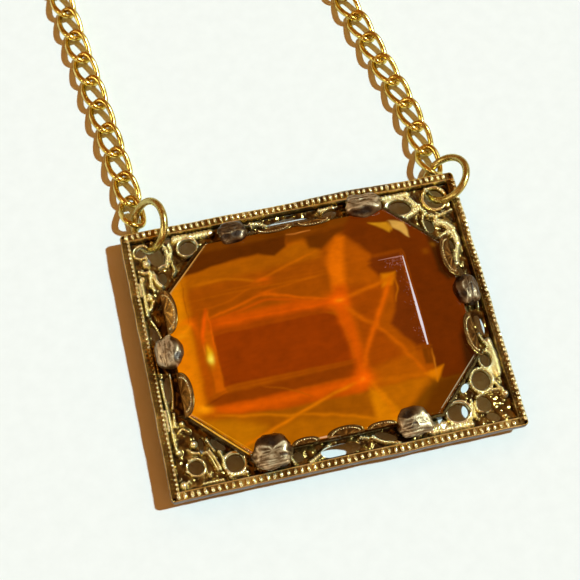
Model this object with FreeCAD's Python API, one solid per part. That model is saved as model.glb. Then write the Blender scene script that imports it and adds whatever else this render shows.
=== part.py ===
"""Pendant necklace: an octagonal glass stone claw-set in a pierced rectangular frame,
hung by two jump rings from an open curb chain with a spring-ring clasp.

Millimetres.  The pendant lies on its back on the plane z = 0, face up.  X runs along
its long side, Y towards the chain, and the origin is the centre of the stone's back.
"""
import FreeCAD, Part
import math
import os

V = FreeCAD.Vector
X, Y, Z = V(1, 0, 0), V(0, 1, 0), V(0, 0, 1)

# ---- driving dimensions -------------------------------------------------------------
# frame
FRAME_W, FRAME_H = 46.0, 36.0
RIM_WALL = 1.2
RIM_Z = (1.8, 3.3)
PANEL_Z = (2.0, 3.0)
FRAME_CORNER_R = 0.8
# stone
STONE_W, STONE_H, STONE_CUT = 38.4, 29.0, 6.6
GIRDLE_Z = (3.6, 4.4)
TABLE_W, TABLE_H, TABLE_Z = 24.6, 12.6, 7.1
CULET_W, CULET_H = 17.0, 9.0
# setting
SEAT_MARGIN = 0.3
SEAT_CUT_MORE = 0.2
CORNER_OVERLAP = 0.8
SEAT_WALL = 1.5
SEAT_BASE_IN = 3.0
SEAT_BASE_WALL = 1.2
FIT = 0.03
# claws: place along the side, side, reach over the stone
CLAW_W, CLAW_OUT, CLAW_TOP = 4.0, 2.2, 5.6
CLAW_EDGE_T = 0.15
CLAWS = {
    "claw_top_left": (-8.4, "top", 0.9), "claw_top_right": (9.6, "top", 1.0),
    "claw_bottom_left": (-9.8, "bottom", 1.9), "claw_bottom_right": (8.5, "bottom", 1.5),
    "claw_left": (0.7, "left", 1.2), "claw_right": (0.9, "right", 0.9),
}
# petals: reach over the stone, then places along the side
PETAL_R, PETAL_T = 2.75, 0.35
PETALS = {
    "left": (1.4, (-5.4, 5.9)), "right": (1.4, (-5.0, 5.9)),
    "top": (0.9, (-3.0, 2.4)), "bottom": (0.9, (-4.9, -0.3, 4.2)),
}
# pierced slots of the edge strips: centre, half length
SLOT_EDGE = 0.35
TOP_SLOTS = ((-5.4, 0.6), (-1.0, 3.0), (5.4, 1.1))
BOTTOM_SLOTS = ((-6.6, 0.8), (-1.2, 2.6), (4.6, 1.9))
SIDE_SLOTS = ((-4.4, 1.6), (4.4, 1.6))
# jump rings
RING_R, RING_WIRE = 3.3, 1.0
RING_HOLE_R = 1.6
# curb links
PITCH, LINK_W, LINK_WIRE = 3.95, 3.4, 0.66
LINK_SLACK = 0.10
LINK_TWIST = 26.0
CHAIN_Z = 1.02
CHAIN_T = 2.0
# the chain that is put away: a flat band where it runs, a flat disc where it is coiled
COIL_R = 17.8
COIL_HOLE_R = 9.8
# spring-ring clasp: angles are about its centre, anticlockwise from +X
CLASP_R, CLASP_TUBE, CLASP_BORE = 2.5, 0.8, 0.50
CLASP_GAP = (-5, 45)
CLASP_SLOT = (2.8, 3.7, 0.32)
BOLT_R, BOLT_SPAN = 0.44, (-12, 100)
TAB_AT, TAB_TRAVEL, TAB_ROOM = 66, 45, 10
TAB_STEM_R, TAB_STEM, TAB_BALL_R = 0.25, 1.15, 0.42
SPRING_R, SPRING_BORE, SPRING_SPAN = 0.44, 0.28, 90
EYE_R, EYE_WIRE = 1.2, 0.45
EYE_Y = -(CLASP_R + CLASP_TUBE + EYE_R - 0.05)
EYE_Z, CLASP_TILT = 1.5, 5.5
# end rings and end tag
SMALL_RING_R, SMALL_RING_WIRE = 1.85, 0.7
TAG_HALF_W, TAG_T, TAG_SPAN = 1.9, 0.5, 4.2
TAG_EYE_R, TAG_HOLE_R = 1.15, 1.0
TAG_EYE_Z, TAG_TILT = 1.15, 7.5

parts = {}


# ---- helpers ------------------------------------------------------------------------
def octagon(width, height, cut, z):
    """Corners of a rectangle with 45-degree cut corners, anticlockwise."""
    a, b = width / 2, height / 2
    return [V(a, b - cut, z), V(a - cut, b, z), V(cut - a, b, z), V(-a, b - cut, z),
            V(-a, cut - b, z), V(cut - a, -b, z), V(a - cut, -b, z), V(a, cut - b, z)]


def wire(points):
    return Part.makePolygon(points + points[:1])


def prism(points, height):
    return Part.Face(wire(points)).extrude(V(0, 0, height))


def slab(points_xy, z_range):
    low, high = z_range
    return prism([V(x, y, low) for x, y in points_xy], high - low)


def box(x, y, z):
    """A box from (low, high) pairs."""
    return Part.makeBox(x[1] - x[0], y[1] - y[0], z[1] - z[0], V(x[0], y[0], z[0]))


def hole(x, y, radius, z_range):
    low, high = z_range
    return Part.makeCylinder(radius, high - low + 2, V(x, y, low - 1))


def solid_of(faces):
    return Part.makeSolid(Part.makeShell(faces))


def facet(*points):
    return Part.Face(wire(list(points)))


def one_solid(shape):
    """The single solid of a boolean's result."""
    assert len(shape.Solids) == 1, len(shape.Solids)
    return shape.Solids[0]


def direction(heading):
    """Unit vector in the XY plane, `heading` degrees anticlockwise from +Y."""
    a = math.radians(heading)
    return V(-math.sin(a), math.cos(a), 0)


# ---- stone --------------------------------------------------------------------------
def stone():
    """Octagon with a one-step crown and a pavilion down to a flat rectangular back."""
    low = octagon(STONE_W, STONE_H, STONE_CUT, GIRDLE_Z[0])
    high = octagon(STONE_W, STONE_H, STONE_CUT, GIRDLE_Z[1])

    def corners(width, height, z):
        a, b = width / 2, height / 2
        return [V(a, b, z), V(-a, b, z), V(-a, -b, z), V(a, -b, z)]

    table = corners(TABLE_W, TABLE_H, TABLE_Z)
    culet = corners(CULET_W, CULET_H, 0)
    faces = [facet(*table), facet(*culet)]
    for i in range(8):
        faces.append(facet(low[i], low[(i + 1) % 8], high[(i + 1) % 8], high[i]))
    for ring, inner in ((high, table), (low, culet)):
        for k in range(4):
            first, second = ring[2 * k], ring[2 * k + 1]
            third = ring[(2 * k + 2) % 8]
            faces.append(facet(first, second, inner[k]))
            faces.append(facet(second, third, inner[(k + 1) % 4], inner[k]))
    return solid_of(faces)


# ---- frame --------------------------------------------------------------------------
def frame_rim():
    outer = box((-FRAME_W / 2, FRAME_W / 2), (-FRAME_H / 2, FRAME_H / 2), RIM_Z)
    upright = [e for e in outer.Edges if abs(e.tangentAt(e.FirstParameter).z) > 0.9]
    outer = outer.makeFillet(FRAME_CORNER_R, upright)
    a, b = FRAME_W / 2 - RIM_WALL, FRAME_H / 2 - RIM_WALL
    inner = box((-a, a), (-b, b), (RIM_Z[0] - 1, RIM_Z[1] + 1))
    return one_solid(outer.cut(inner))


IN_X, IN_Y = FRAME_W / 2 - RIM_WALL, FRAME_H / 2 - RIM_WALL
SEAT_W, SEAT_H = STONE_W + 2 * SEAT_MARGIN, STONE_H + 2 * SEAT_MARGIN
SEAT_CUT = STONE_CUT + SEAT_CUT_MORE
CORNER_X = SEAT_W / 2 - SEAT_CUT - CORNER_OVERLAP
CORNER_Y = SEAT_H / 2 - SEAT_CUT - CORNER_OVERLAP

# pierced holes of each corner panel: x, y, radius, in the panel's own corner
CORNER_HOLES = {
    "top_left": [(-19.30, 15.50, RING_HOLE_R), (-18.6, 11.4, 0.8), (-14.9, 14.9, 0.9)],
    "top_right": [(20.05, 14.95, RING_HOLE_R), (18.1, 11.6, 0.8), (14.9, 14.9, 0.9)],
    "bottom_left": [(-19.6, -14.5, 1.0), (-18.4, -11.6, 0.6), (-14.6, -14.8, 0.95)],
    "bottom_right": [(19.2, -15.0, 1.2), (18.8, -11.0, 1.1), (14.9, -14.7, 1.1)],
}


def corner_panel(name):
    """A pierced plate between the stone's cut corner and the rim's corner."""
    sx = 1 if "right" in name else -1
    sy = 1 if "top" in name else -1
    outline = [(IN_X, CORNER_Y), (IN_X, IN_Y), (CORNER_X, IN_Y), (CORNER_X, SEAT_H / 2),
               (SEAT_W / 2 - SEAT_CUT, SEAT_H / 2), (SEAT_W / 2, SEAT_H / 2 - SEAT_CUT),
               (SEAT_W / 2, CORNER_Y)]
    plate = slab([(sx * x, sy * y) for x, y in outline], PANEL_Z)
    for x, y, radius in CORNER_HOLES[name]:
        plate = plate.cut(hole(x, y, radius, PANEL_Z))
    return one_solid(plate)


def band(half_length, low, high, windows):
    """A narrow pierced strip along +X; windows are (centre, half length) pairs."""
    strip = box((-half_length, half_length), (low, high), PANEL_Z)
    for centre, half in windows:
        slot = box((centre - half, centre + half), (low + SLOT_EDGE, high - SLOT_EDGE),
                   (PANEL_Z[0] - 1, PANEL_Z[1] + 1))
        strip = strip.cut(slot)
    return one_solid(strip)


def turned(shape, degrees):
    copy = shape.copy()
    copy.rotate(V(0, 0, 0), Z, degrees)
    return copy


def seat():
    """The octagonal wall that the stone stands in, tapering in to its base ring."""
    top = octagon(SEAT_W, SEAT_H, SEAT_CUT, GIRDLE_Z[0])
    mid = octagon(SEAT_W, SEAT_H, SEAT_CUT, RIM_Z[0])
    base_w, base_h = SEAT_W - 2 * SEAT_BASE_IN, SEAT_H - 2 * SEAT_BASE_IN
    base = octagon(base_w, base_h, SEAT_CUT, 0)
    upper = prism(mid, GIRDLE_Z[0] - RIM_Z[0])
    lower = Part.makeLoft([wire(base), wire(mid)], True, True)
    inner_w, inner_h = SEAT_W - 2 * SEAT_WALL, SEAT_H - 2 * SEAT_WALL
    inner_base = octagon(base_w - 2 * SEAT_BASE_WALL, base_h - 2 * SEAT_BASE_WALL,
                         SEAT_CUT, 0)
    inner_top = octagon(inner_w, inner_h, SEAT_CUT, top[0].z)
    hollow = Part.makeLoft([wire(inner_base), wire(inner_top)], True, True)
    return one_solid(upper.fuse(lower).cut(hollow).cut(stone()).removeSplitter())


CROWN_RISE_X = (TABLE_Z - GIRDLE_Z[1]) / ((STONE_W - TABLE_W) / 2)
CROWN_RISE_Y = (TABLE_Z - GIRDLE_Z[1]) / ((STONE_H - TABLE_H) / 2)


def on_side(shape, side, along):
    """Moves a shape made for the stone's top side (edge at y = 0) to its own side."""
    copy = shape.copy()
    turn = {"top": 0, "left": 90, "bottom": 180, "right": -90}[side]
    out = STONE_H / 2 if side in ("top", "bottom") else STONE_W / 2
    sign = {"top": 1, "left": 1, "bottom": -1, "right": -1}[side]
    copy.translate(V(sign * along, out, 0))
    copy.rotate(V(0, 0, 0), Z, turn)
    return copy


def claw(along, side, reach):
    """A stout claw: up the girdle and over the edge of the crown."""
    rise = CROWN_RISE_Y if side in ("top", "bottom") else CROWN_RISE_X
    foot_z, shelf_z, edge_z = PANEL_Z[1], GIRDLE_Z[0] + FIT, GIRDLE_Z[1] + FIT
    tip_z = edge_z + rise * reach
    profile = [(SEAT_MARGIN + FIT, foot_z), (CLAW_OUT, foot_z), (CLAW_OUT, edge_z),
               (0.7 * CLAW_OUT, CLAW_TOP - 0.4), (0, CLAW_TOP), (-0.7 * reach, CLAW_TOP),
               (-reach, tip_z + CLAW_EDGE_T), (-reach, tip_z), (FIT, edge_z), (FIT, shelf_z),
               (SEAT_MARGIN + FIT, shelf_z)]
    face = Part.Face(wire([V(-CLAW_W / 2, y, z) for y, z in profile]))
    return on_side(face.extrude(V(CLAW_W, 0, 0)), side, along)


def petals():
    """Rounded leaves of the bezel, bent over the crown between the claws."""
    made = []
    for side, (reach, places) in PETALS.items():
        rise = CROWN_RISE_Y if side in ("top", "bottom") else CROWN_RISE_X
        for along in places:
            disc = Part.makeCylinder(PETAL_R, PETAL_T, V(0, PETAL_R - reach, 0))
            leaf = disc.common(box((-PETAL_R, PETAL_R), (-PETAL_R, 0), (0, PETAL_T)))
            leaf.rotate(V(0, 0, 0), X, -math.degrees(math.atan(rise)))
            leaf.translate(V(0, 0, GIRDLE_Z[1] + FIT))
            made.append(on_side(leaf, side, along))
    return Part.makeCompound([p for m in made for p in m.Solids])


# ---- rings and links ----------------------------------------------------------------
RINGS = {
    "left": (V(-18.94, 18.98, 3.12), V(-0.7879, -0.0511, 0.6137)),
    "right": (V(21.98, 17.54, 3.03), V(-0.6019, 0.2706, 0.7513)),
}


def ring(centre, normal, radius, wire_d):
    return Part.makeTorus(radius, wire_d / 2, centre, normal)


def curb_link():
    """A twisted oval about the origin, long way along Y."""
    r = LINK_WIRE / 2
    half_w = (LINK_W - LINK_WIRE) / 2
    tilt = math.radians(LINK_TWIST)
    bend = half_w / math.cos(tilt)
    straight = (PITCH + LINK_WIRE + LINK_SLACK) / 2 - bend
    rise = half_w * math.tan(tilt)
    body = None
    for end in (1, -1):
        arc = Part.makeTorus(bend, r, V(0, 0, 0), Z, -180, 180, 180)
        if end < 0:
            arc.rotate(V(0, 0, 0), Z, 180)
        arc.rotate(V(0, 0, 0), Y, -end * LINK_TWIST)
        arc.translate(V(0, end * straight, 0))
        body = arc if body is None else body.fuse(arc)
    for side in (1, -1):
        a = V(side * half_w, straight, side * rise)
        b = V(side * half_w, -straight, -side * rise)
        body = body.fuse(Part.makeCylinder(r, (b - a).Length, a, b - a))
        body = body.fuse(Part.makeSphere(r, a)).fuse(Part.makeSphere(r, b))
    return one_solid(body)


# headings of the links, degrees anticlockwise from +Y, in order from the jump ring
STRANDS = {
    "left": {
        "first_crossing": V(-20.59, 23.86, CHAIN_Z),
        "headings": [7.5, 6.0, 6.5, 7.0, 6.0, 7.5, 7.5, 6.5, 6.5],
        "first_link": (V(-20.869, 22.104, 1.34), 6.86, 14.91, 0.0),
    },
    "right": {
        "first_crossing": V(20.90, 23.16, CHAIN_Z),
        "headings": [3.0, 8.0, 12.0, 14.0, 12.0, 13.5, 13.5],
        "first_link": (V(21.001, 21.30, 1.388), 3.5, 12.78, 5.58),
    },
}


def placed_link(centre, heading, pitch=0.0, roll=0.0):
    turn = FreeCAD.Rotation(Z, heading)
    turn = turn.multiply(FreeCAD.Rotation(X, -pitch)).multiply(FreeCAD.Rotation(Y, roll))
    link = LINK.copy()
    link.Placement = FreeCAD.Placement(centre, turn)
    return link


def strand(side):
    """Makes the links of one side and returns where and which way the chain goes on."""
    data = STRANDS[side]
    centre, heading, pitch, roll = data["first_link"]
    parts[f"{side}_link_01"] = placed_link(centre, heading, pitch, roll)
    crossing = data["first_crossing"]
    for count, heading in enumerate(data["headings"], 2):
        step = direction(heading).multiply(PITCH)
        parts[f"{side}_link_{count:02d}"] = placed_link(crossing + step * 0.5, heading)
        print(f"{side} crossing {count - 1}: {crossing.x:.3f} {crossing.y:.3f}")
        crossing = crossing + step
    print(f"{side} chain goes on from {crossing.x:.3f} {crossing.y:.3f}")
    return crossing, heading


# ---- the chain that is put away -----------------------------------------------------
ROUTES = {
    "left": [(-25.15, 63.5), (-25.95, 70.0)],
    "right": [(14.10, 55.5), (13.20, 61.5)],
}
COILS = {"left": V(-8.5, 77.0, 0), "right": V(30.8, 68.2, 0)}


def rounded_route(points):
    """Straight runs joined by tangent arcs through a list of points."""
    edges, start = [], points[0]
    for i in range(1, len(points) - 1):
        before, after = points[i] - points[i - 1], points[i + 1] - points[i]
        turn = before.getAngle(after)
        radius = 0.45 * min(before.Length, after.Length) / math.tan(turn / 2)
        cut = radius * math.tan(turn / 2)
        u, w = V(before).normalize(), V(after).normalize()
        into, out = points[i] - u * cut, points[i] + w * cut
        middle = (w - u).normalize()
        centre = points[i] + middle * (radius / math.cos(turn / 2))
        edges.append(Part.LineSegment(start, into).toShape())
        edges.append(Part.Arc(into, centre - middle * radius, out).toShape())
        print(f"  turn {math.degrees(turn):.1f} degrees, radius {radius:.1f}")
        start = out
    edges.append(Part.LineSegment(start, points[-1]).toShape())
    return Part.Wire(edges)


def chain_run(side, crossing, heading):
    """The uncoiled stretch: a flat band as wide and as thick as the chain."""
    start = crossing + direction(heading).multiply(LINK_WIRE + LINK_SLACK)
    start.z = 0
    tangent_point = COILS[side] + V(-COIL_R, 0, 0)
    points = [start] + [V(x, y, 0) for x, y in ROUTES[side]] + [tangent_point]
    print(f"{side} run from {start.x:.3f} {start.y:.3f}")
    path = rounded_route(points)
    across = V(Z).cross(points[1] - points[0]).normalize()
    corners = [start + across * (LINK_W / 2), start - across * (LINK_W / 2)]
    corners += [corners[1] + V(0, 0, CHAIN_T), corners[0] + V(0, 0, CHAIN_T)]
    run = path.makePipeShell([wire(corners)], True, False)
    print(f"  length {path.Length:.2f}, volume {run.Volume:.2f},"
          f" section x length {LINK_W * CHAIN_T * path.Length:.2f}")
    return run


def chain_coil(side):
    """The outer shape of the flat coil."""
    outer = Part.makeCylinder(COIL_R + LINK_W / 2, CHAIN_T, COILS[side])
    return outer.cut(Part.makeCylinder(COIL_HOLE_R, CHAIN_T, COILS[side])).Solids[0]


# ---- clasp --------------------------------------------------------------------------
def swept_disc(radius_of_sweep, outer, inner, start, sweep):
    """A round bar or tube bent about Z, from `start` through `sweep` degrees."""
    edges = [Part.makeCircle(r, V(radius_of_sweep, 0, 0), Y) for r in (outer, inner) if r]
    face = Part.Face(Part.Wire(edges[0]))
    if inner:
        face = face.cut(Part.Face(Part.Wire(edges[1])))
    bar = face.revolve(V(0, 0, 0), Z, sweep)
    bar.rotate(V(0, 0, 0), Z, start)
    return bar.Solids[0]


def clasp_pieces():
    """Spring-ring clasp about the origin, flat in XY, its eye towards -Y."""
    gap = CLASP_GAP[1] - CLASP_GAP[0]
    body = swept_disc(CLASP_R, CLASP_TUBE, CLASP_BORE, CLASP_GAP[1], 360 - gap)
    near, far, half = CLASP_SLOT
    slot_face = Part.Face(wire([V(near, 0, -half), V(far, 0, -half),
                                V(far, 0, half), V(near, 0, half)]))
    slot = slot_face.revolve(V(0, 0, 0), Z, TAB_TRAVEL + 2 * TAB_ROOM)
    slot.rotate(V(0, 0, 0), Z, TAB_AT - TAB_ROOM)
    body = one_solid(body.cut(slot))
    eye = Part.makeTorus(EYE_R, EYE_WIRE / 2, V(0, EYE_Y, 0), Z)
    eye = eye.cut(Part.makeTorus(CLASP_R, CLASP_BORE + 0.1, V(0, 0, 0), Z))
    body = one_solid(body.fuse(eye))
    bolt = swept_disc(CLASP_R, BOLT_R, 0, BOLT_SPAN[0], BOLT_SPAN[1] - BOLT_SPAN[0])
    tab = Part.makeCylinder(TAB_STEM_R, TAB_STEM, V(CLASP_R, 0, 0), X)
    tab = tab.fuse(Part.makeSphere(TAB_BALL_R, V(CLASP_R + TAB_STEM + 0.2, 0, 0)))
    tab.rotate(V(0, 0, 0), Z, TAB_AT)
    trigger = one_solid(bolt.fuse(tab))
    spring_start = BOLT_SPAN[1] + TAB_TRAVEL + 3
    spring = swept_disc(CLASP_R, SPRING_R, SPRING_BORE, spring_start, SPRING_SPAN)
    return {"clasp_body": body, "clasp_trigger": trigger, "clasp_spring": spring}


def end_tag():
    """A flat oval end tag along +Y: its own eye at the origin, the clasp's hole beyond."""
    low = -TAG_T / 2
    blank = box((-TAG_HALF_W, TAG_HALF_W), (0, TAG_SPAN), (low, -low))
    for y in (0, TAG_SPAN):
        blank = blank.fuse(Part.makeCylinder(TAG_HALF_W, TAG_T, V(0, y, low)))
    for y, radius in ((0, TAG_EYE_R), (TAG_SPAN, TAG_HOLE_R)):
        blank = blank.cut(Part.makeCylinder(radius, TAG_T, V(0, y, low)))
    return one_solid(blank.removeSplitter())


# where the small ring at each chain end stands, and the heading of what hangs on it
ENDS = {"left": (V(-0.96, 78.67, 0), 143.0), "right": (V(38.26, 65.89, 0), 118.0)}


def end_ring(side):
    """A small jump ring standing on edge across the chain's last link."""
    centre, heading = ENDS[side]
    up = V(centre.x, centre.y, SMALL_RING_R + SMALL_RING_WIRE / 2)
    return ring(up, V(Z).cross(direction(heading)), SMALL_RING_R, SMALL_RING_WIRE)


def hung_on_ring(shape, side, eye_y, z, tilt):
    """Hangs a flat piece by its eye at (0, eye_y) on its end ring, its far end lower."""
    centre, heading = ENDS[side]
    reach = math.sqrt(SMALL_RING_R ** 2 - (SMALL_RING_R + SMALL_RING_WIRE / 2 - z) ** 2)
    spot = centre + direction(heading).multiply(reach)
    copy = shape.copy()
    copy.translate(V(0, -eye_y, 0))
    copy.rotate(V(0, 0, 0), X, -tilt)
    copy.rotate(V(0, 0, 0), Z, heading)
    copy.translate(V(spot.x, spot.y, z))
    return copy


# ---- assembly -----------------------------------------------------------------------
parts["stone"] = stone()
parts["frame_rim"] = frame_rim()
for corner in CORNER_HOLES:
    parts[f"corner_panel_{corner}"] = corner_panel(corner)
parts["edge_panel_top"] = band(CORNER_X, SEAT_H / 2, IN_Y, TOP_SLOTS)
turned_slots = [(-centre, half) for centre, half in BOTTOM_SLOTS]
parts["edge_panel_bottom"] = turned(band(CORNER_X, SEAT_H / 2, IN_Y, turned_slots), 180)
parts["edge_panel_left"] = turned(band(CORNER_Y, SEAT_W / 2, IN_X, SIDE_SLOTS), 90)
parts["edge_panel_right"] = turned(band(CORNER_Y, SEAT_W / 2, IN_X, SIDE_SLOTS), -90)
parts["stone_seat"] = seat()
parts["bezel_petals"] = petals()
for name, (along, side, reach) in CLAWS.items():
    parts[name] = claw(along, side, reach)

for side, (centre, normal) in RINGS.items():
    parts[f"{side}_jump_ring"] = ring(centre, normal, RING_R, RING_WIRE)
LINK = curb_link()
for side in STRANDS:
    crossing, heading = strand(side)
    parts[f"{side}_chain_run"] = chain_run(side, crossing, heading)
    parts[f"{side}_chain_coil"] = chain_coil(side)
    parts[f"{side}_end_ring"] = end_ring(side)
for name, piece in clasp_pieces().items():
    parts[name] = hung_on_ring(piece, "left", EYE_Y, EYE_Z, CLASP_TILT)
parts["end_tag"] = hung_on_ring(end_tag(), "right", 0, TAG_EYE_Z, TAG_TILT)

os.makedirs("parts", exist_ok=True)
for name, shape in parts.items():
    assert shape.isValid(), name
    shape.exportStep(f"parts/{name}.step")
print(len(parts), "sub-parts")
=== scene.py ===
"""The looks of a pendant necklace: a faceted amber stone in a pierced, beaded frame, hung
from curb chain.  The pendant lies face up on z = 0, in the CAD model's frame.  Shapes are
worked out in millimetres, and become metres when their mesh is made.
"""
import math
import random

import bmesh
import bpy
import numpy as np
from mathutils import Matrix, Vector, noise


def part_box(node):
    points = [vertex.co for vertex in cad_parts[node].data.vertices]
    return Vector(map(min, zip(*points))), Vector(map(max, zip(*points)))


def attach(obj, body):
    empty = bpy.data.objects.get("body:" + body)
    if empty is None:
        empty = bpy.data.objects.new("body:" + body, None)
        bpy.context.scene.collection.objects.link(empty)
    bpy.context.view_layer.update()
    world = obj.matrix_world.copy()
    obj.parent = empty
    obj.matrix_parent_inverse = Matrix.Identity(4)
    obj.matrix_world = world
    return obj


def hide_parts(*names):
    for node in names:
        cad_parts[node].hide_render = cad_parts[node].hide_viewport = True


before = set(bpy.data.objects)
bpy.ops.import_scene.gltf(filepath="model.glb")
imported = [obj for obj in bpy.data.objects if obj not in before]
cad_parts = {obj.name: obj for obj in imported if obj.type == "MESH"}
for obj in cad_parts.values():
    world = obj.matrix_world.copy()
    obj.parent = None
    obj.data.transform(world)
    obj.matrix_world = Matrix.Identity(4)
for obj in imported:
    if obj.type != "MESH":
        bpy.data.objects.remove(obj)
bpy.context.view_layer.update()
MM = 0.001
UP = Vector((0, 0, 1))
rng = random.Random(11)


def linked(name, data):
    """A new object with this data, in the scene."""
    obj = bpy.data.objects.new(name, data)
    bpy.context.scene.collection.objects.link(obj)
    return obj


# ---- camera ----
CAMERA_AT = Vector((-21.94, -46.68, 151.86)) * MM
CAMERA_FORWARD = Vector((0.1216, 0.3320, -0.9354)).normalized()
CAMERA_UP = Vector((0.1965, 0.9157, 0.3506)).normalized()
CAMERA_LENS, CAMERA_SENSOR, CAMERA_NEAR = 75.0, 36.0, 0.005


def make_camera():
    data = bpy.data.cameras.new("camera")
    data.lens, data.sensor_width, data.clip_start = CAMERA_LENS, CAMERA_SENSOR, CAMERA_NEAR
    right = CAMERA_FORWARD.cross(CAMERA_UP).normalized()
    turn = Matrix((right, right.cross(CAMERA_FORWARD), -CAMERA_FORWARD)).transposed()
    camera = linked("camera", data)
    camera.matrix_world = Matrix.Translation(CAMERA_AT) @ turn.to_4x4()
    bpy.context.scene.camera = camera


make_camera()


# ---- mesh building ----
def globe_angles(rings, sides):
    """Latitude and longitude of each vertex of a globe: a pole, rows of `sides`, a pole."""
    for i in range(rings + 1):
        for k in range(sides if 0 < i < rings else 1):
            yield math.pi * i / rings - math.pi / 2, 2 * math.pi * k / sides


def globe_faces(rings, sides):
    """The faces between those vertices."""
    faces = []
    last = 1 + (rings - 2) * sides
    for k in range(sides):
        m = (k + 1) % sides
        faces.append((0, 1 + m, 1 + k))
        faces.append((last + k, last + m, last + sides))
        for i in range(rings - 2):
            a = 1 + i * sides
            faces.append((a + k, a + m, a + sides + m, a + sides + k))
    return faces


def squared(v, power):
    """A sine or cosine raised to a power, its sign kept: below 1 it fills out the corners."""
    return math.copysign(abs(v) ** power, v)


def paint(mesh, layer, rgba):
    """Gives each vertex a colour, in the layer that the material reads."""
    colours = mesh.color_attributes.new(layer, "FLOAT_COLOR", "POINT")
    colours.data.foreach_set("color", np.asarray(rgba, np.float32).ravel())


class Builder:
    """Collects vertices (millimetres), faces and a tone per vertex: 0 recess, 1 crest; tube, blob
    and claw tones add painted light and shade.
    """

    def __init__(self):
        self.verts, self.faces, self.tones = [], [], []

    def add(self, verts, faces, tones):
        base = len(self.verts)
        self.verts += [tuple(v) for v in verts]
        self.faces += [tuple(base + i for i in f) for f in faces]
        self.tones += list(tones)

    def tube(self, points, radius, sides, closed=False, tone=0.8):
        """A round bar along points, its tone darkened underneath as painted shade."""
        points = [Vector(p) for p in points]
        n = len(points)
        verts, tones = [], []
        for i, p in enumerate(points):
            after = points[(i + 1) % n] if closed or i < n - 1 else points[i]
            before = points[i - 1] if closed or i > 0 else points[i]
            along = (after - before).normalized()
            side = along.cross(UP)
            side = side.normalized() if side.length > 1e-6 else Vector((1, 0, 0))
            rise = side.cross(along)
            for k in range(sides):
                a = 2 * math.pi * k / sides
                verts.append(p + (side * math.cos(a) + rise * math.sin(a)) * radius)
                # painted shade: the tone falls towards the bar's underside
                tones.append(tone * (0.55 + 0.45 * math.sin(a)))
        faces = []
        for i in range(n if closed else n - 1):
            j = (i + 1) % n
            for k in range(sides):
                m = (k + 1) % sides
                faces.append((i * sides + k, i * sides + m, j * sides + m, j * sides + k))
        if not closed:
            faces.append(tuple(range(sides - 1, -1, -1)))
            faces.append(tuple((n - 1) * sides + k for k in range(sides)))
        self.add(verts, faces, tones)

    def blob(self, centre, size, turn, rings, sides, tone, rough):
        """An uneven ellipsoid, its tone brightest on top as a painted highlight: size is its half
        extents.
        """
        centre = Vector(centre)
        rotate = Matrix.Rotation(turn, 3, "Z")
        verts, tones = [], []
        for lat, lon in globe_angles(rings, sides):
            d = Vector((math.cos(lat) * math.cos(lon), math.cos(lat) * math.sin(lon),
                        math.sin(lat)))
            swell = 1 + rough * noise.noise((centre + d * 3) * 1.3)
            verts.append(centre + rotate @ (d * Vector(size) * swell))
            # painted light: the tone is brightest on top and darker on the lower half
            tones.append(tone * (0.45 + 0.55 * max(d.z, 0)))
        self.add(verts, globe_faces(rings, sides), tones)

    def made(self, name, sharp=40.0):
        """The mesh as an object, with hard edges where faces meet at more than `sharp`."""
        mesh = bpy.data.meshes.new(name)
        mesh.from_pydata([Vector(v) * MM for v in self.verts], [], self.faces)
        paint(mesh, "tone", np.repeat(np.array(self.tones)[:, None], 4, axis=1))
        mesh.shade_smooth()
        mesh.set_sharp_from_angle(angle=math.radians(sharp))
        return linked(name, mesh)


def finished(obj, body, slot, material, *nodes):
    """Puts a piece on its body, with its material, for its CAD nodes; the slot argument is not
    used.
    """
    obj.data.materials.clear()
    obj.data.materials.append(material)
    if nodes:
        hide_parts(*nodes)
    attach(obj, body)
    return obj


NODE_SHARP = 35.0


def smooth_node(node, material):
    """A CAD node whose shape is right: smooth shading and a real material."""
    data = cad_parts[node].data
    data.shade_smooth()
    data.set_sharp_from_angle(angle=math.radians(NODE_SHARP))
    data.materials.clear()
    data.materials.append(material)


# ---- materials ----
NOISE_ROUGHNESS = 0.55


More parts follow.
